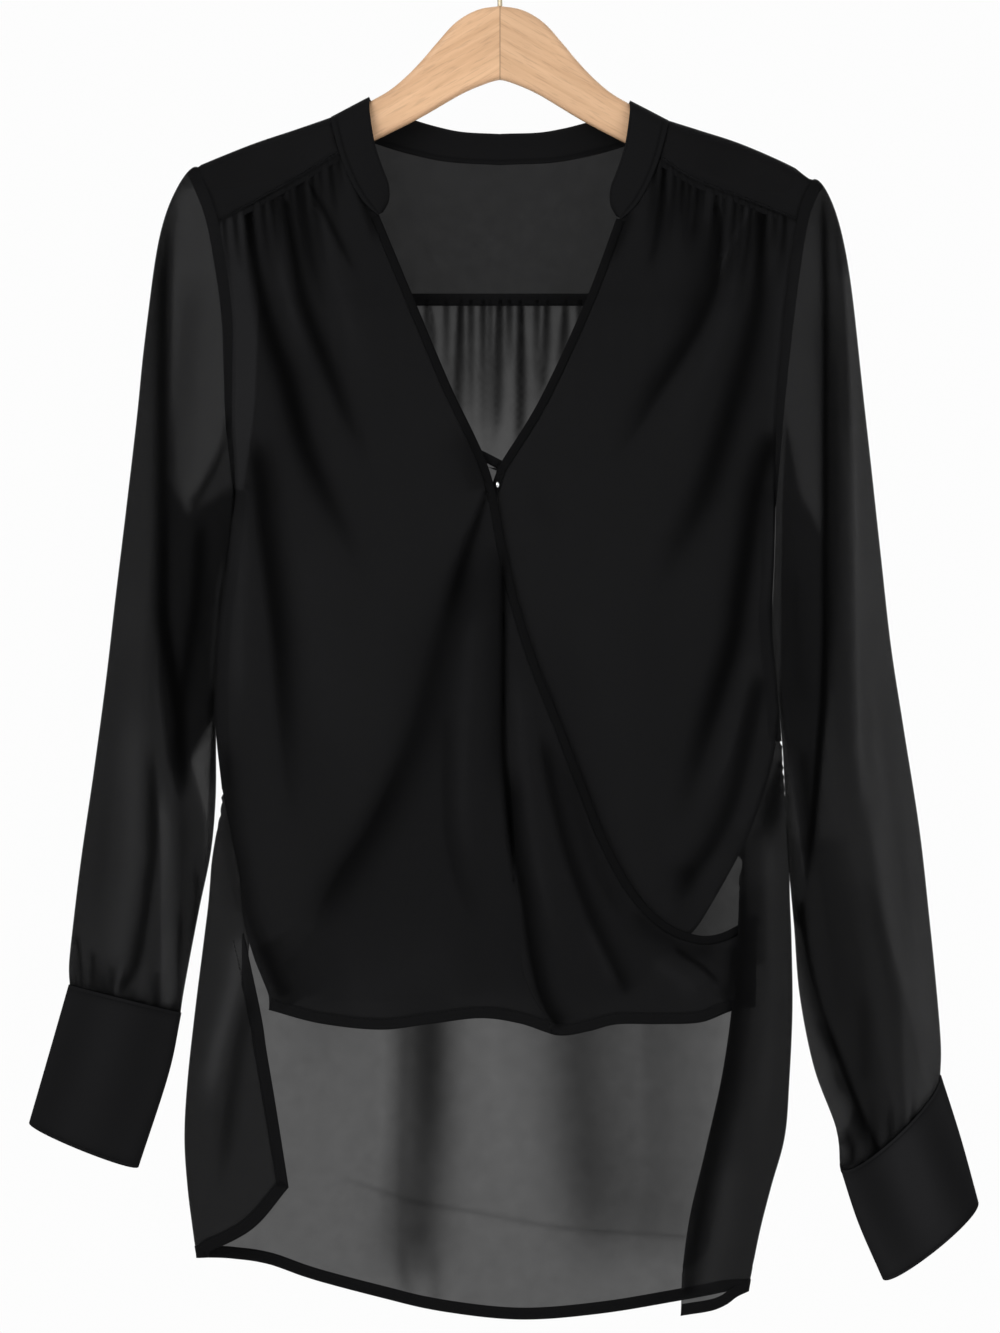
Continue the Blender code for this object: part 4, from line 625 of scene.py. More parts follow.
def torso_depth(across, drop):
    """Half depth of the torso, as a distance from the middle plane."""
    left, right = torso_left(drop), torso_right(drop)
    share = np.clip((across - left) / (right - left), 0.0, 1.0)
    edge = edge_depth(LEFT, drop) * (1 - share) + edge_depth(RIGHT, drop) * share
    full = edge + (torso_middle(drop) - edge) * (1 - np.abs(2 * share - 1) ** LENS_POWER)
    return below_ridge(np.maximum(0.0, drop - ridge_drop(across)), RIDGE_HALF, full)


def on_torso(across, drop, side, lift):
    """Points of the torso's front or back, moved outwards by `lift`."""
    return np.stack([across, side * (torso_depth(across, drop) + lift), drop], axis=1)


# ---------------------------------------------------------------- folds, zones and gathers
def beside(line, across, drop):
    """Each point's distance from a line, above 0 on its right, and its share along the line."""
    steps = np.diff(line, axis=0)
    lengths = np.linalg.norm(steps, axis=1)
    before = np.concatenate([[0], np.cumsum(lengths)[:-1]])
    nearest, off, along = np.full(len(across), 1e9), np.zeros(len(across)), np.zeros(len(across))
    for start, step, length, done in zip(line[:-1], steps, lengths, before):
        dx, dd = across - start[0], drop - start[1]
        share = np.clip((dx * step[0] + dd * step[1]) / length ** 2, 0, 1)
        away = np.hypot(dx - share * step[0], dd - share * step[1])
        closer = away < nearest
        nearest = np.where(closer, away, nearest)
        off = np.where(closer, away * np.sign(dx * step[1] - dd * step[0]), off)
        along = np.where(closer, (done + share * length) / lengths.sum(), along)
    return off, along


def folds_at(folds, across, drop):
    """Sum of the heights, and of the painted shade (below 0, painted highlight), of the soft folds at
    each point.
    """
    height, dark = np.zeros(len(across)), np.zeros(len(across))
    for points, widths, tall, tone, fades in folds:
        line = curve(points, FOLD_GRID)
        margin = FOLD_REACH * max(widths)
        low, high = line.min(axis=0) - margin, line.max(axis=0) + margin
        near = np.flatnonzero((across > low[0]) & (across < high[0])
                              & (drop > low[1]) & (drop < high[1]))
        off, along = beside(line, across[near], drop[near])
        width = np.where(off < 0, *widths)
        if fades[0] < FROM_SEAM:    # narrow at the seam, wider below it
            width = width * (0.3 + 0.7 * between(along, 0, 0.45))
        fade = between(along, 0, fades[0]) * (1 - between(along, 1 - fades[1], 1))
        shape = fade * np.exp(-(np.abs(off) / width) ** FOLD_POWER)
        height[near] += tall * shape
        dark[near] += tone * shape
    return height, dark


def zones_at(zones, across, drop):
    """A factor on the cover, and the painted shade or light, of the lighter or denser areas at each
    point.
    """
    cover, dark = np.ones(len(across)), np.zeros(len(across))
    points = np.stack([across, drop], axis=1)
    for outline, softness, factor, tone in zones:
        outline = np.array(outline, float)
        lines = list(zip(outline, np.roll(outline, -1, axis=0)))
        depth = clearance(lines, points) * np.where(inside(outline, points), 1, -1)
        share = between(depth, -softness, softness)
        cover *= 1 + (factor - 1) * share
        dark += tone * share
    return cover, dark


def gathers_at(kind, across, distance):
    """Heights and painted shade of the gathers below a seam, `distance` from it."""
    places, lean, bend, reach, depth, tone = GATHERS[kind]
    height, dark = np.zeros(len(across)), np.zeros(len(across))
    for index, place in enumerate(places):
        length = reach * (0.35 + 0.65 * scatter(index, reach))
        strength = 0.6 + 0.6 * scatter(index, reach + 1)
        run = np.clip(distance / length, 0, 1)
        width = GATHER_NARROW + (GATHER_WIDE - GATHER_NARROW) * run
        off = across - place - lean * distance - bend * distance ** 2
        shape = strength * (1 - run) ** 1.3 * np.exp(-(off / width) ** 2)
        height -= depth * shape
        dark += tone * shape
    return height, dark + SEAM_LINE_DARK * np.exp(-distance / SEAM_LINE_WIDTH)


def relief(folds, zones, across, drop, gathered, crowding=FOLD_COVER):
    """Heights, painted shade and cover of a cloth's folds, zones and gathers. `crowding` is how much
    a fold's painted shade adds to its cover."""
    height, dark = folds_at(folds, across, drop)
    cover, zone_dark = zones_at(zones, across, drop)
    dark = dark + gathered[1]
    cover = cover * (1 + np.where(dark > 0, crowding, LIGHT_COVER) * np.clip(dark, -1, 2))
    return height + gathered[0], dark + zone_dark, cover


def front_fade(across, drop):
    """Folds of a panel die out at its armhole and side seam."""
    return between(across - torso_left(drop), 2, 20) * between(torso_right(drop) - across, 2, 20)


# ---------------------------------------------------------------- the folds of each panel
# Each takes flat positions and returns the cloth's heights, painted shade and cover.
def relief_plain(flat):
    """Cloth without folds of its own."""
    return np.zeros(len(flat)), np.zeros(len(flat)), np.ones(len(flat))


def relief_over(flat):
    """The front that lies on top, with the step of its centre pleat."""
    across, drop = flat.T
    gathered = gathers_at("over", across, np.maximum(0, drop - gather_drop[LEFT](across)))
    height, dark, cover = relief(FOLDS_OVER, ZONES_OVER, across, drop, gathered)
    height = height * front_fade(across, drop)
    step = between(across - pleat_across(drop), -PLEAT_HALF, PLEAT_HALF)
    height += PLEAT_STEP * between(drop, *PLEAT_DROPS) * step * (1 - between(across, *PLEAT_ACROSS))
    return height, dark - FRONT_SHEEN, cover


def relief_under(flat):
    """The front that passes behind it, and follows it where it is hidden."""
    across, drop = flat.T
    gathered = gathers_at("under", across, np.maximum(0, drop - gather_drop[RIGHT](across)))
    height, dark, cover = relief(FOLDS_UNDER, [], across, drop, gathered)
    height = height * front_fade(across, drop)
    below = drop - CROSSING_DROP
    hidden = between(below, 0, 48) * (1 - between(across - 0.4 * below, -10, 25))
    over_height = folds_at(FOLDS_OVER, across, drop)[0] * front_fade(across, drop)
    low_edge = under_low_drop(across)
    thinning = 0.8 * between(drop, low_edge - 30, low_edge) * (1 - between(across, 40, 90))
    return (height * (1 - hidden) + over_height * hidden, dark * (1 - hidden) - FRONT_SHEEN,
            cover * (1 - thinning))


def relief_back(flat):
    """The back panel with its side parts, which lie in front."""
    across, drop = flat.T
    left, right = torso_left(drop), torso_right(drop)
    gathered = gathers_at("back", across, np.maximum(0, drop - YOKE_BACK_DROP))
    height, dark, cover = relief(FOLDS_BACK, ZONES_BACK, across, drop, gathered, BACK_FOLD_COVER)
    below = np.maximum(0, drop - YOKE_BACK_DROP)
    cover = cover + BACK_FULLNESS * np.exp(-below / BACK_FULLNESS_REACH)
    height = height * front_fade(across, drop)
    behind = (across > left) & (across < right)
    height, dark = np.where(behind, height, 0), np.where(behind, dark, 0)
    cover = np.where(behind, cover, 1.0)
    for end, fold in ((LEFT, left), (RIGHT, right)):
        beyond = end * (across - fold) - math.pi * edge_depth(end, drop)
        laid = (beyond > 0) & (drop > SIDE_SEAM[end][-1][1])
        tall, tone = folds_at(FOLDS_FLAP[end], fold - end * beyond, drop)
        height = np.where(laid, tall * between(beyond, 0, 6), height)
        dark = np.where(laid, tone, dark)
        cover = np.where(laid, 1 + FOLD_COVER * np.clip(tone, -0.8, 1.5), cover)
    turned = np.maximum(0, across - flat_beyond(RIGHT, flap_in_right(drop), drop))
    fading = 0.9 * between(turned, -1, 2 + math.pi * FLAP_FOLD + underturn_width(drop))
    cover = np.where(drop > FLAP_RIGHT_IN[0][1], cover * (1 - fading), cover)
    return height, dark, cover


# ---------------------------------------------------------------- placing each piece
# Each takes flat positions and the heights of their folds, and returns points.
def place_yoke(flat, height):
    """Reach is below 0 in front of the ridge and above 0 behind it."""
    across, reach = flat.T
    drop = ridge_drop(across) + np.abs(reach)
    return on_torso(across, drop, np.where(reach < 0, FRONT, BACK), height)


def place_front(flat, height):
    """Straight onto the torso's front."""
    return on_torso(*flat.T, FRONT, height)


def place_behind(flat, height):
    """Straight onto the torso's back."""
    return on_torso(*flat.T, BACK, height)


def place_middle(flat, height):
    """Onto the middle plane, between front and back."""
    return np.stack([flat[:, 0], -height, flat[:, 1]], axis=1)


def place_over(flat, height):
    """The front that lies on top."""
    across, drop = flat.T
    left = over_left(drop)
    lift = LAYER_OVER * between(drop, *OVER_DROPS) * between(across, left, left + OVER_RISE)
    lift = lift - OVER_TUCK * between(across, *OVER_TUCK_ACROSS)
    return on_torso(across, drop, FRONT, lift + height)


def place_under(flat, height):
    """The front that passes behind it."""
    across, drop = flat.T
    lift = LAYER_UNDER * between(drop, *UNDER_DROPS) * (1 - between(across, *UNDER_ACROSS))
    return on_torso(across, drop, FRONT, lift + height)


def place_back(flat, height):
    """The back panel from its flat shape: past either end it folds round to the front."""
    across, drop = flat.T
    points = on_torso(across, drop, BACK, height)
    for end, fold in ((LEFT, torso_left(drop)), (RIGHT, torso_right(drop))):
        beyond = end * (across - fold)
        radius = edge_depth(end, drop)
        angle = np.clip(beyond / radius, 0, math.pi)
        bend = np.stack([fold + end * radius * np.sin(angle), radius * np.cos(angle), drop], axis=1)
        turn = math.pi * radius
        in_front = np.where(beyond > turn, fold - end * (beyond - turn), fold)
        rounded = (beyond > 0) & (drop > SIDE_SEAM[end][-1][1] + 0.5)
        laid = (flap_left if end == LEFT else flap_right)(in_front, fold, drop, height)
        points = np.where((rounded & (beyond <= turn))[:, None], bend, points)
        points = np.where((rounded & (beyond > turn))[:, None], laid, points)
    return points


def flap_left(across, fold, drop, height):
    """The left side part, turned to the front; its upper edge lies under the front."""
    under = between(across - flap_in_left(drop), -1.0, 0.8) * (1 - between(drop, *FLAP_LEFT_DROPS))
    return on_torso(across, drop, FRONT, height - FLAP_LEFT_UNDER * under)


def flap_right(across, fold, drop, height):
    """The right side part, turned to the front, with its inner edge turned under."""
    lift = FLAP_LIFT * between(drop, *FLAP_DROPS) * between(fold - across, 0, FLAP_RISE)
    inner = flap_in_right(drop)
    past = np.where(drop < FLAP_RIGHT_IN[0][1], 0.0, np.maximum(0.0, inner - across))
    angle = np.clip(past / FLAP_FOLD, 0, math.pi)
    turned = inner - FLAP_FOLD * np.sin(angle) + np.maximum(0.0, past - math.pi * FLAP_FOLD)
    at = np.where(past > 0, turned, across)
    lift = lift - FLAP_FOLD * (1 - np.cos(angle))
    under = between(under_low_across(drop) - across, -0.8, 0.8)
    under *= 1 - between(drop, *FLAP_RIGHT_DROPS)
    return on_torso(at, drop, FRONT, lift - FLAP_RIGHT_UNDER * under + height)


def flat_beyond(end, across, drop):
    """The flat position of a point on the front part of the back panel."""
    fold = torso_left(drop) if end == LEFT else torso_right(drop)
    return fold + end * (math.pi * edge_depth(end, drop) + abs(fold - across))


# ---------------------------------------------------------------- meshes
def vertex_normals(points, faces):
    """Unit normals of a mesh's points, from its faces."""
    normals = np.zeros((len(points), 3))
    for size in sorted({len(face) for face in faces}):
        ring = np.array([face for face in faces if len(face) == size])
        corners = points[ring]
        across = np.cross(corners[:, 1] - corners[:, 0], corners[:, -1] - corners[:, 0])
        for column in range(size):
            np.add.at(normals, ring[:, column], across)
    return normals / np.maximum(np.linalg.norm(normals, axis=1), 1e-9)[:, None]


def make_mesh(name, points, faces, uv=None):
    """A smooth mesh from points in millimetres (across, y, drop), with flat positions as UVs."""
    mesh = bpy.data.meshes.new(name)
    world = np.stack([points[:, 0], points[:, 1], -points[:, 2]], axis=1) * MM
    mesh.from_pydata(world.tolist(), [], [tuple(int(i) for i in face) for face in faces])
    sheet = bmesh.new()
    sheet.from_mesh(mesh)
    bmesh.ops.recalc_face_normals(sheet, faces=sheet.faces)
    sheet.to_mesh(mesh)
    sheet.free()
    if uv is not None:
        corner = np.empty(len(mesh.loops), int)
        mesh.loops.foreach_get("vertex_index", corner)
        layer = mesh.uv_layers.new(name="cloth")
        layer.data.foreach_set("uv", (uv[corner] * MM * 10).astype(np.float32).ravel())
    mesh.shade_smooth()
    return mesh


def add_attribute(mesh, name, values):
    """A number for each point of a mesh, for its material to read."""
    attribute = mesh.attributes.new(name, "FLOAT", "POINT")
    attribute.data.foreach_set("value", np.asarray(values, np.float32))


def add_piece(name, data, material, replaced=()):
    """A piece that rides with the part."""
    piece = bpy.data.objects.new(name, data)
    data.materials.append(material)
    bpy.context.scene.collection.objects.link(piece)
    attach(piece, "root")
    if replaced:
        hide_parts(*replaced)
    return piece


def thicken(piece, thickness):
    """Turns a sheet into a closed shell, evenly to both sides."""
    shell = piece.modifiers.new("shell", "SOLIDIFY")
    shell.thickness = thickness * MM
    shell.offset = 0.0
    return piece


def cloth(name, flat, faces, points, plain, dark, cover, material, replaced=(),
          thickness=SHELL):
    """A shell of sheer cloth. Where it slants against its plain form, it covers more."""
    facing = np.abs((vertex_normals(points, faces) * vertex_normals(plain, faces)).sum(axis=1))
    mesh = make_mesh(name, points, faces, flat)
    add_attribute(mesh, "cover", cover / np.clip(facing, 0.5, 1.0))
    # `shade` scales the colour: painted shade in folds, creases and gathers, and painted light where
    # the darkness is below 0
    add_attribute(mesh, "shade", np.clip(np.exp(-dark), 0.1, 2.0))
    return thicken(add_piece(name, mesh, material, replaced), thickness)


def panel_cloth(name, flat, faces, place, relief_of, replaced, layers):
    """A panel of chiffon, `layers` thick, with its folds."""
    height, dark, cover = relief_of(flat)
    return cloth(name, flat, faces, place(flat, height), place(flat, 0 * height), dark,
                 cover * layers, CHIFFON, replaced)


def inside(outline, points):
    """Which flat points lie inside a closed outline."""
    count = np.zeros(len(points), int)
    x, y = points.T
    for (x0, y0), (x1, y1) in zip(outline, np.roll(outline, -1, axis=0)):
        if y0 != y1:
            crosses = (y0 > y) != (y1 > y)
            count += crosses & (x < x0 + (y - y0) * (x1 - x0) / (y1 - y0))
    return count % 2 == 1


def clearance(lines, points):
    """Distance of each flat point from the nearest of the segments."""
    nearest = np.full(len(points), 1e9)
    for start, end in lines:
        step = end - start
        share = np.clip((points - start) @ step / max(step @ step, 1e-9), 0, 1)
        away = points - start - share[:, None] * step
        nearest = np.minimum(nearest, np.hypot(away[:, 0], away[:, 1]))
    return nearest


def within(line, outline):
    """The stretches of a line that lie well inside an outline."""
    line = np.array(line)
    borders = list(zip(outline, np.roll(outline, -1, axis=0)))
    kept = inside(outline, line) & (clearance(borders, line) > 1.0)
    runs, run = [], []
    for point, keep in zip(line, kept):
        if keep:
            run.append(point)
        elif run:
            runs.append(run)
            run = []
    return [stretch for stretch in runs + [run] if len(stretch) > 1]


def crisp_lines(folds, zones=()):
    """Lines of points that narrow folds and crisp zones need on both sides of them."""
    lines = []
    for points, widths, *_ in folds:
        if min(widths) < CRISP_WIDTH:
            line = curve(points, 3.0)
            lines += [line + [shift, 0] for shift in (-CRISP, 0.0, CRISP)]
    for outline, softness, *_ in zones:
        closed = np.array(list(outline) + [outline[0]], float)
        dense = [start + (end - start) * k / 4 for start, end in zip(closed, closed[1:])
                 for k in range(4)]
        lines += [offset_line(dense, shift) for shift in (-softness, softness)]
    return lines


def panel(outline, base, grid, gathered=False, creases=()):
    """Flat points and faces of a panel. Rows of points run parallel to `base`, closer together
    below a gathered seam. Creases are flat lines that the faces follow."""
    outline = np.array([tuple(point) for point in outline])
    corners = outline.tolist()
    edges = [(i, (i + 1) % len(corners)) for i in range(len(corners))]
    for crease in creases:
        for stretch in within(crease, outline):
            first = len(corners)
            corners += [list(point) for point in stretch]
            edges += [(i, i + 1) for i in range(first, len(corners) - 1)]
    corners = np.array(corners)
    lines = [(corners[a], corners[b]) for a, b in edges]
    low, high = outline.min(axis=0), outline.max(axis=0)
    distance = GATHER_GRID if gathered else grid * 0.8
    rows, steps = [], []
    while distance < high[1] - low[1] + 60:
        step = min(GATHER_GRID + GATHER_GROWTH * distance, grid) if gathered else grid
        across = np.arange(low[0] + step * (0.5 if len(rows) % 2 else 1.0), high[0], step)
        rows.append(np.stack([across, base(across) + distance], axis=1))
        steps.append(np.full(len(across), step))
        distance += 0.87 * step
    points, steps = np.concatenate(rows), np.concatenate(steps)
    among = inside(outline, points)
    points, steps = points[among], steps[among]
    points = points[clearance(lines, points) > 0.5 * steps]
    points = [Vector(point) for point in np.concatenate([corners, points]).tolist()]
    result = delaunay_2d_cdt(points, edges, [], 1, 1e-5)
    return np.array([point[:] for point in result[0]]), result[2]


def offset_line(line, distance):
    """A flat line moved sideways, to its left with drop running down if above 0."""
    line = np.array(line, float)
    tangent = np.gradient(line, axis=0)
    tangent /= np.linalg.norm(tangent, axis=1)[:, None]
    return line + distance * np.stack([tangent[:, 1], -tangent[:, 0]], axis=1)


def ribbon(name, edge, place, relief_of, inner, outer, replaced=(), lift=0.0, crown=0.0,
           thickness=STRIP_SHELL, taper=0, darker=STRIP_DARK):
    """A sewn strip along an edge, between two offsets from it: a binding, a hem or a seam. Over
    its first `taper` points it widens from nothing."""
    shares = np.linspace(0, 1, STRIP_COLUMNS)
    lines = np.stack([offset_line(edge, inner + (outer - inner) * share) for share in shares],
                     axis=1)
    wide = np.clip((np.arange(len(edge)) + 1) / (taper + 1), 0, 1)[:, None, None]
    flat = (edge[:, None, :] + (lines - edge[:, None, :]) * wide).reshape(-1, 2)
    height, dark, _ = relief_of(flat)
    rounded = np.tile(crown * np.sin(np.pi * shares), len(edge))
    # its colour: a share of the panel's painted fold shade, the strip's own darker tone, and a painted
    # highlight along both edges
    rim_highlight = np.tile(RIM_LIGHT * (2 * shares - 1) ** 2, len(edge))
    return cloth(name, flat, grid_faces(len(edge), STRIP_COLUMNS, False),
                 place(flat, height + lift + rounded), place(flat, 0 * height),
                 STRIP_FOLDS * dark + darker - rim_highlight, np.full(len(flat), STRIP_LAYERS),
                 BAND_CLOTH, replaced, thickness)


def grid_faces(rows, columns, closed):
    """Faces of a grid of points, whose rows may be closed rings."""
    last = columns if closed else columns - 1
    return [(i * columns + k, i * columns + (k + 1) % columns,
             (i + 1) * columns + (k + 1) % columns, (i + 1) * columns + k)
            for i in range(rows - 1) for k in range(last)]


# ---------------------------------------------------------------- materials
NOISE_RANGE = (0.3, 0.7)    # most of what a noise texture gives
ARM_COS, ARM_SIN = 0.87, 0.5     # of the slope of the hanger's arms


def add_node(tree, kind, settings=None, **inputs):
    """A node with its settings; inputs are values or another node's output."""
    made = tree.nodes.new("ShaderNode" + kind)
    for key, value in (settings or {}).items():
        setattr(made, key, value)
    for key, value in inputs.items():
        socket = made.inputs[int(key[1:])] if key[0] == "i" and key[1:].isdigit() else (
            made.inputs[key.replace("_", " ")])
        if isinstance(value, bpy.types.NodeSocket):
            tree.links.new(value, socket)
        else:
            socket.default_value = value
    return made


def new_material(name, colour, roughness, **values):
    """A material with its Principled shader; values are constants on the shader's sockets."""
    material = bpy.data.materials.new(name)
    material.use_nodes = True
    material.diffuse_color = (*colour, 1.0)
    shader = material.node_tree.nodes["Principled BSDF"]
    shader.inputs["Base Color"].default_value = (*colour, 1.0)
    shader.inputs["Roughness"].default_value = roughness
    for key, value in values.items():
        shader.inputs[key.replace("_", " ")].default_value = value
    return material, material.node_tree, shader


def maths(tree, operation, first, second=0.0, clamp=False):
    """The output of a Math node."""
    return add_node(tree, "Math", {"operation": operation, "use_clamp": clamp},
                    i0=first, i1=second).outputs[0]


def product(tree, first, *factors):
    """The output of all factors multiplied."""
    for factor in factors:
        first = maths(tree, "MULTIPLY", first, factor)
    return first


def noise(tree, where, scale, detail=2.0, **more):
    """The output of a noise texture."""
    return add_node(tree, "TexNoise", None, Vector=where, Scale=scale, Detail=detail,
                    **more).outputs["Fac"]


def remap(tree, value, low, high, given=(0.0, 1.0)):
    """A value brought from the given range to another one."""
    return add_node(tree, "MapRange", None, Value=value, i1=given[0], i2=given[1], i3=low,
                    i4=high).outputs[0]


def position(tree):
    """The place of each shaded point."""
    return add_node(tree, "NewGeometry").outputs["Position"]


def finish_surface(tree, shader, bump, colour=None, tone=None, roughness=None):
    """Joins a shader's bump, as strength, depth (m) and height, its colour and its roughness."""
    strength, depth, height = bump
    made = {"Normal": add_node(tree, "Bump", None, Strength=strength, Distance=depth,
                               Height=height).outputs[0]}
    if colour is not None:
        made["Base Color"] = add_node(tree, "VectorMath", {"operation": "SCALE"}, i0=colour,
                                      Scale=tone).outputs[0]
    if roughness is not None:
        made["Roughness"] = roughness
    for socket, output in made.items():
        tree.links.new(output, shader.inputs[socket])


def cloth_material(name, through, colour, weave):
    """Chiffon: `through` is the share of light that passes one face of one layer."""
    material, tree, shader = new_material(name, colour, 0.7, Specular_IOR_Level=0.02)
    where = add_node(tree, "UVMap", {"uv_map": "cloth"}).outputs[0]
    density = add_node(tree, "Attribute", {"attribute_name": "cover"}).outputs["Fac"]
    shade = add_node(tree, "Attribute", {"attribute_name": "shade"}).outputs["Fac"]
    threads = []
    for direction in ("X", "Y"):
        wave = add_node(tree, "TexWave", {"bands_direction": direction, "wave_profile": "SIN"},
                        Vector=where, Scale=weave, Distortion=0.6, Detail=1.0)
        threads.append(wave.outputs["Fac"])
    cross = maths(tree, "MULTIPLY", threads[0], threads[1])
    slub = noise(tree, where, 9.0, 4.0, Roughness=0.65)
    uneven = remap(tree, slub, 0.92, 1.08)
    grain = remap(tree, cross, 0.96, 1.06)
    passed = maths(tree, "POWER", through, product(tree, density, uneven, grain))
    tree.links.new(maths(tree, "SUBTRACT", 1.0, passed, True), shader.inputs["Alpha"])
    # the colour is scaled by the painted shade of the `shade` attribute and by the weave's own
    # unevenness
    finish_surface(tree, shader, (0.25, 0.0002, cross), colour,
                   product(tree, shade, uneven, grain), remap(tree, slub, 0.62, 0.8, NOISE_RANGE))
    return material


def wood_material():
    """Pale beech; the grain of each arm runs along it and meets at the middle."""
    material, tree, shader = new_material("beech", (0.66, 0.42, 0.25), 0.42,
                                          Specular_IOR_Level=0.35)
    where = position(tree)
    x, y, z = add_node(tree, "SeparateXYZ", None, Vector=where).outputs
    out = maths(tree, "ABSOLUTE", x)
    along = maths(tree, "SUBTRACT", product(tree, out, ARM_COS), product(tree, z, ARM_SIN))
    over = maths(tree, "ADD", product(tree, out, ARM_SIN), product(tree, z, ARM_COS))
    side = maths(tree, "GREATER_THAN", x, 0.0)
    spot = add_node(tree, "CombineXYZ", None, Y=over, Z=y,
                    X=maths(tree, "ADD", along, product(tree, side, 3.7))).outputs[0]

    def stretched(*scale):
        return add_node(tree, "Mapping", None, Vector=spot, Scale=scale).outputs[0]

    grain = noise(tree, stretched(5.0, 95.0, 60.0), 1.0, 6.0, Roughness=0.62, Distortion=0.5)
    fleck = noise(tree, stretched(70.0, 900.0, 500.0), 1.0)
    ramp = add_node(tree, "ValToRGB", None, Fac=grain)
    stops = ramp.color_ramp.elements
    stops[0].position, stops[0].color = 0.30, (0.56, 0.33, 0.18, 1)
    stops[1].position, stops[1].color = 0.62, (0.74, 0.47, 0.28, 1)
    tone = product(tree, remap(tree, fleck, 0.86, 1.0, (0.34, 0.46)),
                   remap(tree, noise(tree, where, 14.0), 0.93, 1.06, NOISE_RANGE),
                   remap(tree, side, 1.02, 0.95),
                   remap(tree, out, 0.62, 1.0, (0.0002, 0.0007)))
    finish_surface(tree, shader, (0.35, 0.0003, grain), ramp.outputs[0], tone,
                   remap(tree, grain, 0.5, 0.38, NOISE_RANGE))
    return material


def metal_material(name, colour, roughness):
    """Drawn or cast metal with faint marks."""
    material, tree, shader = new_material(name, colour, roughness, Metallic=1.0)
    marks = noise(tree, position(tree), 400.0, 3.0)
    rough = remap(tree, marks, roughness * 0.75, roughness * 1.35, NOISE_RANGE)
    finish_surface(tree, shader, (0.1, 0.0001, marks), roughness=rough)
    return material


def thread_material():
    """Black sewing thread."""
    material, tree, shader = new_material("thread", (0.006, 0.006, 0.0064), 0.6,
                                          Specular_IOR_Level=0.03)
    finish_surface(tree, shader, (0.4, 0.0001, noise(tree, position(tree), 2500.0)))
    return material


def floor_material():
    """Pale painted floor."""
    material, tree, shader = new_material("floor", (0.9, 0.9, 0.9), 0.8)
    pale = remap(tree, noise(tree, position(tree), 3.0), 0.88, 0.92)
    tone = add_node(tree, "CombineXYZ", None, X=pale, Y=pale, Z=pale)
    tree.links.new(tone.outputs[0], shader.inputs["Base Color"])
    return material


CHIFFON = cloth_material("chiffon", 0.30, (0.0075, 0.0075, 0.0079), 230.0)
BAND_CLOTH = cloth_material("band_cloth", 0.12, (0.0072, 0.0072, 0.0076), 230.0)
BEECH = wood_material()
HOOK_METAL = metal_material("hook_metal", (0.55, 0.47, 0.33), 0.34)
SNAP_METAL = metal_material("snap_metal", (0.80, 0.80, 0.81), 0.25)
THREAD = thread_material()


# ---------------------------------------------------------------- the garment's outlines
def yoke_neck_line():
    """The yoke's neck edge in its flat shape."""
    low = GATHER_SEAM[LEFT][-1][1] + 3.1
    rows = [row for row in band_rows(4.0) if row[4] == BACK or row[1] <= low]
    return [(row[0], row[4] * (row[1] - ridge_drop(row[0]))) for row in rows]


def band_rows(spacing):
    """Rows of the neck band, from its left front end round the back to its right end."""
    front, back = curve(BAND_FRONT, spacing), curve(BAND_BACK, spacing)
    half = [(*row, FRONT) for row in front] + [(*row, BACK) for row in back]
    mirrored = []
    for seam_x, seam_d, edge_x, edge_d, side in reversed(half[:-1]):
        fade = 1 - between(abs(seam_x), 108, 0) if abs(seam_x) < 108 and side == BACK else 1.0
        shift = BAND_RIGHT_DROP * fade
        mirrored.append((-seam_x - 0.5, seam_d + shift, -edge_x - 0.5, edge_d + shift, side))
    return half + mirrored


def armhole_drops(end, spacing=4.0):
    """Drops of points down an armhole."""
    top, low = ARMHOLE[end][0][1], ARMHOLE[end][-1][1]
    steps = round((low - top) / spacing)
    return [top + (low - top) * (1 - math.cos(math.pi * k / steps)) / 2 for k in range(steps + 1)]


def armhole_line(end, low, high):
    """Armhole points between two drops."""
    return [(float(armhole_across[end](drop)), drop) for drop in armhole_drops(end)
            if low <= drop <= high]


ARMHOLE_ENDS = {end: {FRONT: GATHER_SEAM[end][0][1] - 2, BACK: YOKE_BACK_DROP - 2}
                for end in (LEFT, RIGHT)}   # drops where the yoke's armholes end


def yoke_outline():
    """Flat outline of the yoke, its shoulders above the ridge line."""
    def reach(side, points):
        return [(x, side * max(0.0, d - float(ridge_drop(x)))) for x, d in points]

    def armhole(end, side, low):
        return reach(side, armhole_line(end, low, ARMHOLE_ENDS[end][side]))

    first, last = (float(armhole_across[end](YOKE_BACK_DROP)) for end in (RIGHT, LEFT))
    seam = [(x, YOKE_BACK_DROP) for x in [*np.arange(first, last, -EDGE_GRID), last]]
    outline = reach(FRONT, curve(GATHER_SEAM[LEFT], EDGE_GRID)[:-1]) + yoke_neck_line()
    outline += reach(FRONT, curve(GATHER_SEAM[RIGHT], EDGE_GRID)[:-1][::-1])
    outline += armhole(RIGHT, FRONT, 0)[::-1] + armhole(RIGHT, BACK, ARMHOLE[RIGHT][0][1] + 0.1)
    outline += reach(BACK, seam)
    return outline + armhole(LEFT, BACK, 0)[::-1] + armhole(LEFT, FRONT, ARMHOLE[LEFT][0][1] + 0.1)


def band_seam_front(end):
    """The front's edge along the neck band, from the shoulder down."""
    low = GATHER_SEAM[LEFT][-1][1] + 4
    rows = [(row[0], row[1]) for row in band_rows(4.0)
            if row[4] == FRONT and row[0] * end > 0 and row[1] > low]
    return sorted(rows, key=lambda point: point[1])


def front_top(end):
    """Gathered top edge of a front, at the yoke."""
    return [(x, d + 0.2) for x, d in curve(GATHER_SEAM[end], GATHER_GRID)]


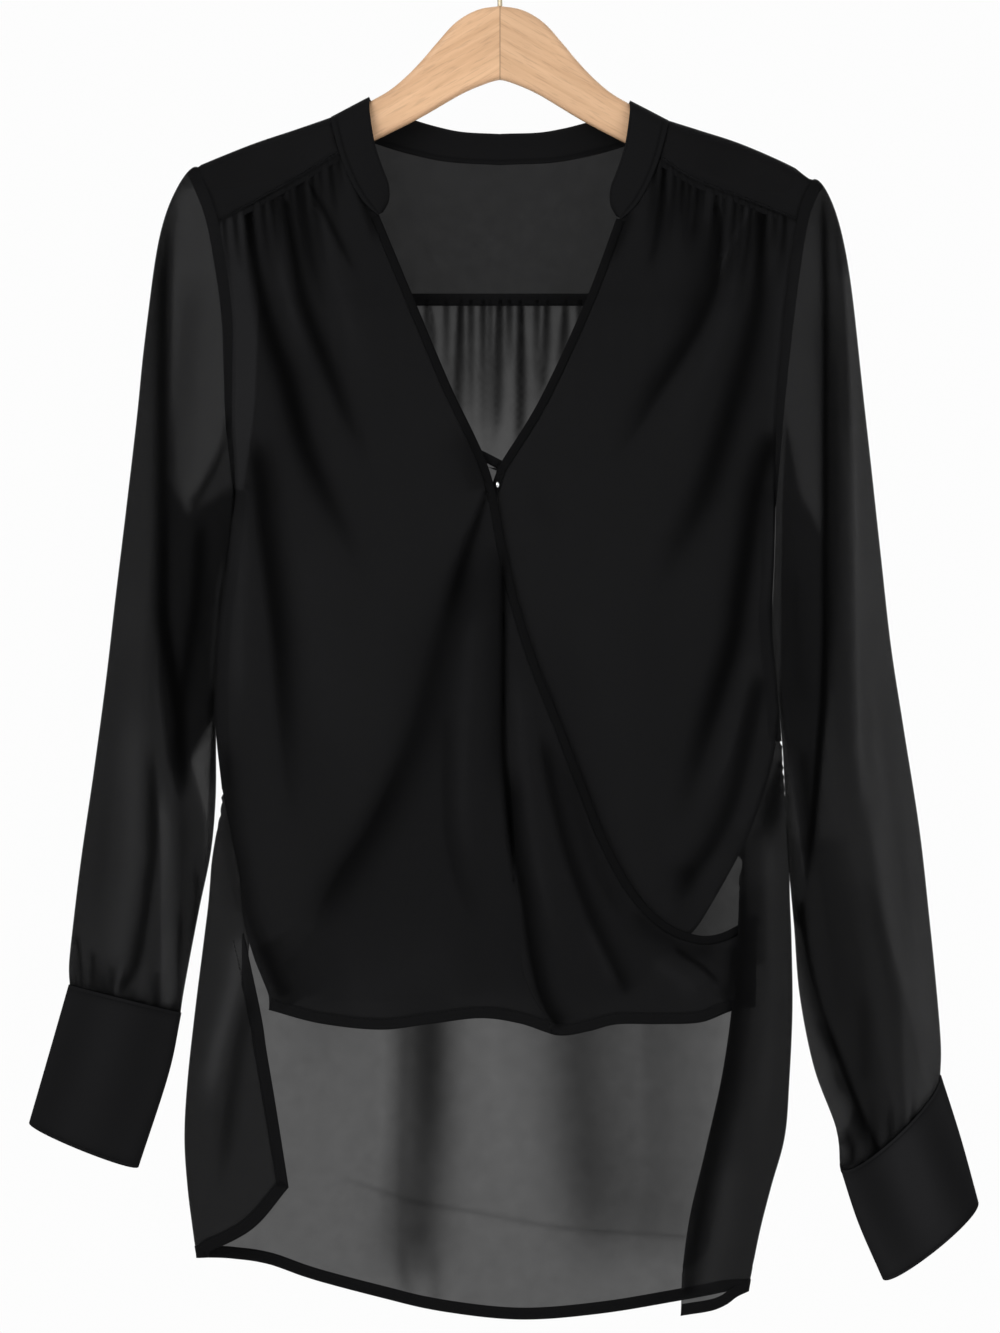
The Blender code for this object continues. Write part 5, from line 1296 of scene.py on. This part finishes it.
def over_outline():
    """Flat outline of the front that lies on top."""
    edge = offset_line(curve(OVER_EDGE, EDGE_GRID), -1.2)
    hem = offset_line(curve(OVER_HEM, EDGE_GRID), 1.0)
    outline = front_top(LEFT) + band_seam_front(LEFT)[:-1] + list(edge) + list(hem[::-1])
    outline += [p for p in curve(OVER_SIDE, EDGE_GRID)[::-1] if p[1] < hem[0][1] - 4]
    outline += list(curve(SIDE_SEAM[LEFT], EDGE_GRID)[:-1][::-1])
    return outline + armhole_line(LEFT, GATHER_SEAM[LEFT][0][1] + 2, ARMHOLE[LEFT][-1][1] - 1)[::-1]


def under_outline():
    """Flat outline of the front that passes behind it."""
    edge = offset_line(curve(UNDER_EDGE, EDGE_GRID), 1.2)
    outline = front_top(RIGHT) + band_seam_front(RIGHT)[:-1] + list(edge)
    outline += [p for p in curve(UNDER_LOW, EDGE_GRID)[::-1] if p[0] > edge[-1][0] + 4
                or p[1] < 600]
    outline += [p for p in curve(SIDE_SEAM[RIGHT], EDGE_GRID)[::-1] if p[1] < UNDER_LOW[0][1] - 2]
    return outline + armhole_line(RIGHT, GATHER_SEAM[RIGHT][0][1] + 2,
                                  ARMHOLE[RIGHT][-1][1] - 1)[::-1]


def slit_line():
    """Flat line of the left flap's free edge, top to bottom."""
    return np.array([(flat_beyond(LEFT, x, d), d) for x, d in curve(FLAP_LEFT_IN, EDGE_GRID)
                     if d > 664])


def back_hem_line():
    """Flat line of the back hem from the right flap to the left one."""
    right = [(flat_beyond(RIGHT, x, d), d) for x, d in curve(BACK_HEM_RIGHT, EDGE_GRID)[::-1]
             if x < 154.5]
    middle = [tuple(p) for p in curve(BACK_HEM, EDGE_GRID)[::-1] if -184 < p[0] < 150]
    left = [(flat_beyond(LEFT, x, d), d) for x, d in curve(BACK_HEM_LEFT, EDGE_GRID)[::-1]]
    return curve(right[::3] + [BACK_HEM_CORNER] + middle[::4] + left[::3] + [left[-1]], EDGE_GRID)


def back_outline():
    """Flat outline of the back panel with both of its turned flaps."""
    top = YOKE_BACK_DROP + 0.2
    low, high = (float(armhole_across[end](top)) for end in (LEFT, RIGHT))
    outline = [(x, top) for x in np.arange(low, high, GATHER_GRID)] + [(high, top)]
    outline += armhole_line(RIGHT, top + 2, ARMHOLE[RIGHT][-1][1] - 1)
    outline += list(curve(SIDE_SEAM[RIGHT], EDGE_GRID)[:-1])
    outline += [(flat_beyond(RIGHT, x, d), d)
                for x, d in offset_line(curve(UNDER_LOW, EDGE_GRID), -TUCK_UNDER) if 543 < d < 612]
    for drop in np.arange(FLAP_RIGHT_IN[0][1] + 5, 886, EDGE_GRID):
        taper = between(drop, 620, 642) * (1 - between(drop, 868, 890))
        turned = math.pi * FLAP_FOLD + underturn_width(drop)
        outline.append((flat_beyond(RIGHT, flap_in_right(drop), drop) + taper * turned, drop))
    hem = offset_line(back_hem_line(), -1.0)
    outline += [p for p in hem if p[1] > 890 or p[0] < 250]
    outline += [p for p in offset_line(slit_line(), 1.0)[::-1] if 682 < p[1] < hem[-1][1] - 4]
    outline += [(flat_beyond(LEFT, x + TUCK_UNDER * (1 - between(d, 668, 680)), d), d)
                for x, d in curve(FLAP_LEFT_IN, EDGE_GRID)[::-1] if 574 < d < 680]
    outline += list(curve(SIDE_SEAM[LEFT], EDGE_GRID)[::-1])
    return outline + armhole_line(LEFT, top + 2, ARMHOLE[LEFT][-1][1] - 1)[::-1]


# ---------------------------------------------------------------- the garment's pieces
def make_yoke():
    """Back yoke and both forward shoulders, two layers of cloth."""
    creases = []
    for end in (LEFT, RIGHT):
        low, high = sorted(end * at for at in RIDGE_CREASE_ENDS)
        for past in RIDGE_CREASES:
            inset = 1.0 + abs(past)
            creases.append([(x, past) for x in np.arange(low + inset, high - inset, 3.0)])
    flat, faces = panel(yoke_outline(), lambda across: -50.0 + 0 * across, YOKE_GRID,
                        creases=creases)

    def ripples(flat):
        across, reach = flat.T
        wave = np.sin(across / 17 + reach / 29) + 0.6 * np.sin(across / 7.3 - reach / 11)
        # the ripples' heights, their painted shade and light, and plain cover
        return YOKE_RIPPLE * wave, YOKE_RIPPLE_DARK * wave, 1 + 0 * wave

    return panel_cloth("yoke_cloth", flat, faces, place_yoke, ripples, ("yoke",), YOKE_LAYERS)


def gathered_base(end):
    """Rows of points below a front's gathered seam, which level out past its end."""
    low, high = sorted((GATHER_SEAM[end][0][0], GATHER_SEAM[end][-1][0]))

    def base(across):
        beyond = np.maximum(0, across - high) if end == LEFT else np.maximum(0, low - across)
        return gather_drop[end](np.clip(across, low, high)) - end * 0.2 * beyond

    return base


def make_over_front():
    """The front whose edge wraps over to the right."""
    top, low = PLEAT_CREASE_DROPS
    pleat = np.array([p for p in curve(CENTRE_PLEAT, EDGE_GRID) if top < p[1] < low])
    creases = [pleat + [shift, 0] for shift in (-PLEAT_HALF, 0.0, PLEAT_HALF)]
    flat, faces = panel(over_outline(), gathered_base(LEFT), GRID, True,
                        creases + crisp_lines(FOLDS_OVER, ZONES_OVER))
    return panel_cloth("front_over_cloth", flat, faces, place_over, relief_over,
                       ("front_over",), FRONT_LAYERS)


def make_under_front():
    """The front that passes behind the other."""
    flat, faces = panel(under_outline(), gathered_base(RIGHT), GRID, True,
                        crisp_lines(FOLDS_UNDER))
    return panel_cloth("front_under_cloth", flat, faces, place_under, relief_under,
                       ("front_under",), FRONT_LAYERS)


def make_back():
    """The back panel, longer than the fronts, with its side parts folded to the front."""
    creases = []
    for end in (LEFT, RIGHT):
        for share in np.linspace(0, 1, 7):
            drops = np.arange(SIDE_FOLD_TOP, SIDE_FOLD_LOW[end], CREASE_GRID)
            fold = torso_left(drops) if end == LEFT else torso_right(drops)
            line = fold + end * share * math.pi * edge_depth(end, drops)
            creases.append(list(zip(line, drops)))
    for share in np.linspace(0, 1, 6):
        drops = np.arange(640 + 6 * share, 880 - 8 * share, CREASE_GRID)
        line = flat_beyond(RIGHT, flap_in_right(drops), drops) + share * math.pi * FLAP_FOLD
        creases.append(list(zip(line, drops)))
    flat, faces = panel(back_outline(), lambda across: YOKE_BACK_DROP + 0 * across, BACK_GRID,
                        True, creases + crisp_lines(FOLDS_BACK[-1:]))
    return panel_cloth("back_cloth", flat, faces, place_back, relief_back, ("back_panel",), 1.0)


def band_lines(shares):
    """Points of the neck band: a row for each place along it, with one point for each share of
    its width, and the length along it."""
    rows, points, run = band_rows(BAND_ROW), [], [0.0]
    for seam_x, seam_d, edge_x, edge_d, side in rows:
        seam = on_torso(np.array([seam_x]), np.array([seam_d]), side, 0.0)[0]
        top = BAND_EDGE_TOP + (BAND_RIGHT_DROP if edge_x > 0 else 0.0)
        half = below_ridge(max(edge_d - top, 0.0), BAND_EDGE_HALF,
                           BAND_EDGE_FRONT if side == FRONT else BAND_EDGE_BACK)
        edge = np.array([edge_x, side * half, edge_d])
        belly = 0.7 * np.sin(np.pi * np.clip(shares, 0, 1)) + 0.45 * (1 - between(shares, 0, 0.12))
        row = seam + (edge - seam) * shares[:, None]
        row[:, 1] += side * belly
        points.append(row)
        if len(points) > 1:
            run.append(run[-1] + math.dist(points[-1][-1], points[-2][-1]))
    return np.array(points), np.array(run)


def make_neck_band():
    """The stand band round the neck, open in front, with a soft roll to its free edge."""
    shares = np.concatenate([[-0.05, 0.0, 0.05], np.linspace(0.1, 1.0, 13)])
    points, run = band_lines(shares)
    flat = np.stack([np.repeat(run, len(shares)), np.tile(BAND_WIDTH * shares, len(run))], axis=1)
    # darker along the line of stitches near its seam, and a painted highlight along the roll of its
    # free edge
    dark = 0.35 * np.exp(-((shares - 0.09) / 0.03) ** 2) - 0.28 * np.exp(
        -((shares - 1) / 0.06) ** 2)
    return dense_cloth("neck_band_cloth", points.reshape(-1, 3), flat,
                       grid_faces(len(run), len(shares), False), np.tile(dark, len(run)),
                       BAND_SHELL, ("neck_band",))


def dense_cloth(name, points, flat, faces, dark, thickness, replaced=()):
    """A shell of doubled cloth through points that are already in place."""
    return cloth(name, flat, faces, points, points, dark, np.full(len(points), BAND_LAYERS),
                 BAND_CLOTH, replaced, thickness)


# ---------------------------------------------------------------- sleeves and cuffs
def tube_point(row, angle, sag=0.0, lift=0.0, tuck=0.0):
    """Points of a flattened tube between its outer and inner outlines."""
    share = (1 - np.cos(angle)) / 2
    swell = np.abs(np.sin(angle)) ** (TUBE_BLUNT + TUBE_PINCH * tuck * share)
    depth = (row[4] + lift) * swell * np.sign(np.sin(angle))
    return np.stack([row[0] + (row[2] - row[0]) * share, tuck * share ** 2 - depth,
                     row[1] + (row[3] - row[1]) * share + sag * swell], axis=1)


def armhole_ring(end, angles, gap):
    """The sleeve's first ring, just outside the armhole."""
    top, low = ARMHOLE[end][0][1], ARMHOLE[end][-1][1]
    drop = top + (low - top) * (1 - np.cos(angles)) / 2
    ring = on_torso(armhole_across[end](drop), drop, FRONT, 0.0)
    ring[:, 1] *= np.where(np.sin(angles) < 0, -1, 1)
    ring[:, 0] += end * gap
    ring[:, 2] -= 0.6 * gap * (1 - np.sin(angles / 2))
    return ring


def lookup_row(rows, at, column):
    """A value between the rows of a table, smoothly interpolated."""
    low = min(max(int(math.floor(at)), 0), len(rows) - 2)
    before, start = rows[max(low - 1, 0)][column], rows[low][column]
    end, after = rows[low + 1][column], rows[min(low + 2, len(rows) - 1)][column]
    t = at - low
    if at < 0 or at > len(rows) - 1:
        return start + (end - start) * t
    return spline(before, start, end, after, t)


def sleeve_rings(end, rows, lift=None):
    """Rings of a sleeve at fractional rows of its table, from -1 at the armhole, raised by
    `lift` at each point."""
    table = SLEEVE[end]
    last = len(table) - 1
    angles = np.linspace(0, 2 * math.pi, SLEEVE_SIDES, endpoint=False)
    armhole = armhole_ring(end, angles, -0.2)
    rings = []
    for index, at in enumerate(rows):
        row = [float(lookup_row(table, at, column)) for column in range(6)]
        sag = CUFF[end][0][5] * between(at, last - 3, last)
        ring = tube_point(row, angles, sag, 0.0 if lift is None else lift[index], row[5])
        share = between(at + 1, 0, SLEEVE_BLEND + 1)
        spread = SHOULDER_SPREAD * (at + 1) * (1 + np.cos(angles)) / 2
        outwards = np.stack([end * spread, 0 * spread, 0 * spread], axis=1)
        rings.append((1 - share) * (armhole + outwards) + share * ring)
    return np.array(rings)


def make_sleeve(end, name):
    """A sleeve from its armhole to the gathers at the cuff."""
    table = SLEEVE[end]
    last = len(table) - 1
    steps = [max(2, round(math.dist(a[:2], b[:2]) / SLEEVE_ROW)) for a, b in zip(table, table[1:])]
    rows = np.concatenate([np.linspace(-1, 0, 6)[:-1]] + [
        np.linspace(i, i + 1, steps[i], endpoint=False) for i in range(last)]
        + [[last, last + CUFF_OVERLAP]])
    angles = np.tile(np.linspace(0, 2 * math.pi, SLEEVE_SIDES, endpoint=False), len(rows))
    plain = sleeve_rings(end, rows).reshape(-1, 3)
    above = np.hypot(plain[:, 0] - table[-1][0], plain[:, 2] - table[-1][1])
    to_cuff = np.repeat(np.minimum(above.reshape(len(rows), -1)[:, 0], 1e3), SLEEVE_SIDES)
    gathered = gathers_at("cuff", angles * CUFF_GATHER_RADIUS, to_cuff)
    height, dark, cover = np.zeros(len(plain)), np.zeros(len(plain)), np.zeros(len(plain))
    for facing in (FRONT, BACK):
        there = np.sin(angles) > 0 if facing == FRONT else np.sin(angles) <= 0
        found = relief(FOLDS_SLEEVE[end, facing], ZONES_SLEEVE[end, facing], plain[there, 0],
                       plain[there, 2], [part[there] for part in gathered])
        height[there], dark[there], cover[there] = found
    billow = CUFF_BILLOW * np.exp(-((to_cuff - BILLOW_AT) / BILLOW_SPREAD) ** 2)
    dark -= BILLOW_SHEEN * np.exp(-((to_cuff - SHEEN_AT) / SHEEN_SPREAD) ** 2)
    into_cuff = np.repeat(rows > last + 0.01, SLEEVE_SIDES)
    lift = np.where(into_cuff, CUFF_INSET, height * np.sqrt(np.abs(np.sin(angles))) + billow)
    points = sleeve_rings(end, rows, lift.reshape(len(rows), -1)).reshape(-1, 3)
    flat = np.stack([np.tile(np.arange(SLEEVE_SIDES) * SLEEVE_GIRTH, len(rows)),
                     np.repeat(rows * SLEEVE_LENGTH, SLEEVE_SIDES)], axis=1)
    return cloth(name + "_cloth", flat, grid_faces(len(rows), SLEEVE_SIDES, True), points, plain,
                 dark, cover * SLEEVE_LAYERS, CHIFFON, (name,))


def make_armhole_seam(end, name):
    """The doubled seam allowance inside the top of a sleeve."""
    rings = sleeve_rings(end, np.linspace(-1, SLEEVE_BLEND, 41))
    angles = np.linspace(0, 2 * math.pi, SLEEVE_SIDES, endpoint=False)
    reaches = np.linspace(-1.6, SEAM, STRIP_COLUMNS + 1)
    points = np.zeros((len(reaches), SLEEVE_SIDES, 3))
    for side in range(SLEEVE_SIDES):
        line = rings[:, side]
        first = line[1] - line[0]
        line = np.concatenate([[line[0] - 4 * first / np.linalg.norm(first)], line])
        along = np.concatenate([[0], np.cumsum(np.linalg.norm(np.diff(line, axis=0), axis=1))]) - 4
        for column in range(3):
            points[:, side, column] = np.interp(reaches, along, line[:, column])
    points[..., 1] -= np.clip(points[..., 1], -SEAM_DEPTH, SEAM_DEPTH)
    points[..., 2] += SEAM_DEPTH * np.cos(angles)
    flat = np.stack([np.tile(angles * ARMHOLE_RADIUS, len(reaches)),
                     np.repeat(reaches, SLEEVE_SIDES)], axis=1)
    return dense_cloth(name, points.reshape(-1, 3), flat,
                       grid_faces(len(reaches), SLEEVE_SIDES, True),
                       np.full(len(flat), SEAM_DARK), SEAM_SHELL)


def make_cuff(end, name):
    """A deep cuff: a flattened tube, open at both ends."""
    angles = np.linspace(0, 2 * math.pi, CUFF_SIDES, endpoint=False)
    rows = curve(CUFF[end], CUFF_ROW)
    rings = [tube_point(row, angles, row[5]) for row in rows]
    flat = np.stack([np.tile(angles * CUFF_RADIUS, len(rows)), np.repeat(rows[:, 1], CUFF_SIDES)],
                    axis=1)
    near_end = np.minimum(np.arange(len(rows)), np.arange(len(rows))[::-1]) * CUFF_ROW
    # darker just inside each end, with a painted highlight on the very edge
    dark = np.repeat(0.25 * np.exp(-((near_end - 4) / 2.5) ** 2) - 0.2 * np.exp(-near_end / 2),
                     CUFF_SIDES)
    round_it = np.tile(angles, len(rows))
    down = np.repeat(np.linspace(0, 1, len(rows)), CUFF_SIDES)
    # painted sheen: lighter all round, with a streak down the front and faint slanting bands
    dark -= CUFF_SHEEN[end] * (0.5 + 0.5 * np.exp(-((round_it - 1.2 - 0.5 * down) / 0.45) ** 2)
                               + 0.3 * np.sin(5 * round_it + 2 * down))
    return dense_cloth(name + "_cloth", np.concatenate(rings), flat,
                       grid_faces(len(rows), CUFF_SIDES, True), dark, CUFF_SHELL, (name,))


# ---------------------------------------------------------------- sewing and closure
def stitch_lines():
    """Lines of points in place that the stitches follow, just out of the cloth."""
    def along(edge, offset, place, relief_of):
        flat = offset_line(edge, offset)
        return place(flat, relief_of(flat)[0] + STRIP_SHELL / 2)

    in_binding, in_hem = BINDING - STITCH_IN_BINDING, HEM - STITCH_IN_HEM
    lines = [along(curve(OVER_EDGE, STITCH_LINE), -in_binding, place_over, relief_over),
             along(curve(UNDER_EDGE, STITCH_LINE), in_binding, place_under, relief_under),
             along(curve(OVER_HEM, STITCH_LINE), in_hem, place_over, relief_over),
             along(back_hem_line(), -in_hem, place_back, relief_back),
             along(slit_line(), in_hem, place_back, relief_back)]
    for end in (LEFT, RIGHT):
        lines.append(along(curve(GATHER_SEAM[end], STITCH_LINE), -end * STITCH_BY_SEAM,
                           place_front, relief_plain))
    seam = [(x, YOKE_BACK_DROP) for x in np.arange(-172, 184, STITCH_LINE)]
    lines.append(along(seam, STITCH_BY_SEAM, place_behind, relief_plain))
    band = band_lines(np.array([0.09, 0.95]))[0]
    for column in (0, 1):
        line = band[:, column].copy()
        line[:, 1] += np.sign(line[:, 1]) * (BAND_SHELL / 2 + STITCH_OUT)
        lines.append(line)
    angles = np.linspace(0, 2 * math.pi, 121)
    for end in (LEFT, RIGHT):
        rows = curve(CUFF[end], 1.5)
        for row in (rows[2], rows[-3]):
            lines.append(tube_point(row, angles, row[5], CUFF_SHELL / 2 + STITCH_OUT))
    return lines


def make_stitches():
    """All lines of stitches, as short threads."""
    points, faces = [], []
    box = [(0, 1, 3, 2), (4, 6, 7, 5), (0, 4, 5, 1), (2, 3, 7, 6), (0, 2, 6, 4), (1, 5, 7, 3)]
    for line in stitch_lines():
        run = np.concatenate([[0], np.cumsum(np.linalg.norm(np.diff(line, axis=0), axis=1))])
        for start in np.arange(1.5, run[-1] - STITCH, STITCH_PITCH):
            ends = [np.array([np.interp(at, run, column) for column in line.T])
                    for at in (start, start + STITCH)]
            ahead = (ends[1] - ends[0]) / np.linalg.norm(ends[1] - ends[0])
            beside_it = np.cross(ahead, [0, np.sign(ends[0][1]), 0])
            beside_it /= max(np.linalg.norm(beside_it), 1e-6)
            above = np.cross(ahead, beside_it)
            first = len(points)
            points += [end + STITCH_HALF * (u * beside_it + v * above)
                       for end in ends for u in (-1, 1) for v in (-1, 1)]
            faces += [tuple(first + i for i in face) for face in box]
    add_piece("stitches", make_mesh("stitches", np.array(points), faces), THREAD)


def make_closure():
    """The tab behind the crossing and the small metal fastener on it."""
    ribbon("closure_tab_cloth", curve(TAB_LINE, 2.0), place_front, relief_plain, -TAB_HALF,
           TAB_HALF, ("closure_tab",), TAB_BEHIND, thickness=TAB_SHELL)
    mesh = bpy.data.meshes.new("closure_bead")
    bead = bmesh.new()
    bmesh.ops.create_uvsphere(bead, u_segments=32, v_segments=20, radius=1.0)
    for point in bead.verts:
        slim = 1 - SNAP_SLIM * max(0.0, point.co.z)
        point.co = Vector((point.co.x * slim * SNAP_SIZE[0], point.co.y * SNAP_SIZE[1],
                           point.co.z * SNAP_SIZE[2])) * MM
    place = place_under(np.array([SNAP_AT]), np.array([STRIP_SHELL + SNAP_SIZE[1] + SNAP_OUT]))[0]
    bmesh.ops.translate(bead, vec=(place[0] * MM, place[1] * MM, -place[2] * MM), verts=bead.verts)
    bead.to_mesh(mesh)
    bead.free()
    mesh.shade_smooth()
    add_piece("closure_bead", mesh, SNAP_METAL, ("closure_snap",))


# ---------------------------------------------------------------- hanger
def make_wood():
    """The flat wooden hanger, a shaped board with well rounded edges."""
    left = np.concatenate([curve(WOOD_UPPER, 3.0)[:-1], curve(WOOD_TIP, 1.5)[:-1],
                           curve(WOOD_LOWER, 3.0)])
    right = left[1:-1][::-1] * [-1, 1]
    right[:, 1] += WOOD_RIGHT_DROP * between(right[:, 0], 0, 110)
    outline = np.concatenate([left, right])
    mesh = bpy.data.meshes.new("hanger_board")
    board = bmesh.new()
    front = [board.verts.new((x * MM, -WOOD_HALF * MM, -drop * MM)) for x, drop in outline]
    grown = bmesh.ops.extrude_face_region(board, geom=[board.faces.new(front)])
    moved = [item for item in grown["geom"] if isinstance(item, bmesh.types.BMVert)]
    bmesh.ops.translate(board, vec=(0, 2 * WOOD_HALF * MM, 0), verts=moved)
    bmesh.ops.recalc_face_normals(board, faces=board.faces)
    board.to_mesh(mesh)
    board.free()
    mesh.shade_smooth()
    piece = add_piece("hanger_board", mesh, BEECH, ("hanger_wood",))
    bevel = piece.modifiers.new("rounded edges", "BEVEL")
    bevel.width = WOOD_ROUND * MM
    bevel.segments = 5
    bevel.limit_method = "ANGLE"
    bevel.angle_limit = math.radians(60)
    flat_face = piece.modifiers.new("even shading", "WEIGHTED_NORMAL")
    flat_face.keep_sharp = True


def make_hook():
    """The wire hook: round over the rail, then down into the wood."""
    bend = HOOK_RADIUS + HOOK_WIRE
    turns = np.radians(np.arange(-100, 125, 5.0))
    path = [(bend * math.sin(turn), HOOK_RADIUS - bend * math.cos(turn)) for turn in turns]
    path += [tuple(p) for p in curve([path[-1]] + HOOK_SHANK, 1.5)[1:]]
    shape = bpy.data.curves.new("hanger_wire", "CURVE")
    shape.dimensions = "3D"
    shape.bevel_depth = HOOK_WIRE * MM
    shape.bevel_resolution = 5
    shape.use_fill_caps = True
    spline = shape.splines.new("POLY")
    spline.points.add(len(path) - 1)
    for point, (x, drop) in zip(spline.points, path):
        point.co = (x * MM, 0.0, -drop * MM, 1.0)
    add_piece("hanger_wire", shape, HOOK_METAL, ("hanger_hook",))


# ---------------------------------------------------------------- build
make_yoke()
make_over_front()
make_under_front()
make_back()
make_neck_band()
ribbon("binding_over_cloth", curve(OVER_EDGE, EDGE_GRID), place_over, relief_over, -BINDING, 0.0,
       ("binding_over",), crown=CROWN, darker=BINDING_DARK)
ribbon("binding_under_cloth", curve(UNDER_EDGE, EDGE_GRID), place_under, relief_under, 0.0,
       BINDING, ("binding_under",), crown=CROWN, darker=BINDING_DARK)
ribbon("hem_over_cloth", curve(OVER_HEM, EDGE_GRID), place_over, relief_over, 0.0, HEM,
       ("hem_over",))
ribbon("hem_back_cloth", back_hem_line(), place_back, relief_back, -HEM, 0.0, ("hem_back",))
ribbon("hem_slit_cloth", slit_line(), place_back, relief_back, 0.0, HEM, ("hem_slit",), taper=12)
for end, name in ((LEFT, "right"), (RIGHT, "left")):
    ribbon("shoulder_seam_" + name, curve(GATHER_SEAM[end], EDGE_GRID), place_front, relief_plain,
           -SEAM / 2, SEAM / 2, (), -SEAM_DEPTH, thickness=SEAM_SHELL)
    ribbon("side_seam_" + name, curve(SIDE_SEAM[end], EDGE_GRID), place_middle, relief_plain,
           *((-0.3, SEAM) if end == LEFT else (-SEAM, 0.3)), thickness=SIDE_SEAM_SHELL)
    make_armhole_seam(end, "armhole_seam_" + name)
    make_sleeve(end, "sleeve_" + name)
    make_cuff(end, "cuff_" + name)
seam_ends = [float(armhole_across[end](YOKE_BACK_DROP)) for end in (LEFT, RIGHT)]
yoke_seam = np.array([(x, YOKE_BACK_DROP) for x in np.arange(seam_ends[0], seam_ends[1], 3.0)])
ribbon("yoke_seam", yoke_seam, place_behind, relief_plain, -SEAM / 2, SEAM / 2, (), -SEAM_DEPTH,
       thickness=SEAM_SHELL)
make_closure()
make_stitches()
make_wood()
make_hook()

# ---------------------------------------------------------------- floor, light and camera
bpy.ops.mesh.primitive_plane_add(size=6.0, location=(0, 0, FLOOR_Z))
floor = bpy.context.object
floor.name = "floor"
floor.data.materials.append(floor_material())

world = bpy.data.worlds.new("studio")
bpy.context.scene.world = world
world.use_nodes = True
sky = world.node_tree
sky.nodes.clear()
seen = add_node(sky, "Background", None, Color=(1, 1, 1, 1), Strength=0.98)
light = add_node(sky, "Background", None, Color=(1, 1, 1, 1), Strength=0.55)
path = add_node(sky, "LightPath")
mixed = add_node(sky, "MixShader", None, Fac=path.outputs["Is Camera Ray"],
                 i1=light.outputs[0], i2=seen.outputs[0])
add_node(sky, "OutputWorld", None, Surface=mixed.outputs[0])

LAMPS = [  # name, place (m), size (m), watts
    ("key", (-1.7, -2.3, 0.7), 1.8, 46.0), ("fill", (2.0, -2.2, -0.2), 2.0, 20.0),
    ("back", (0.6, 2.6, 0.6), 2.2, 34.0)]
centre = Vector((0, 0, -VIEW_CENTRE_DROP * MM))
for name, place, size, watts in LAMPS:
    lamp = bpy.data.lights.new(name, "AREA")
    lamp.size = size
    lamp.energy = watts
    holder = bpy.data.objects.new(name, lamp)
    holder.location = place
    holder.rotation_euler = (centre - Vector(place)).to_track_quat("-Z", "Y").to_euler()
    bpy.context.scene.collection.objects.link(holder)

camera = bpy.data.cameras.new("camera")
camera.sensor_width = 36.0
camera.lens = camera.sensor_width * CAMERA_DISTANCE / VIEW_HEIGHT
holder = bpy.data.objects.new("camera", camera)
holder.location = (0.0, -CAMERA_DISTANCE, centre.z)
holder.rotation_euler = (math.radians(90), 0, 0)
bpy.context.scene.collection.objects.link(holder)
bpy.context.scene.camera = holder
bpy.context.scene.view_settings.view_transform = "Standard"
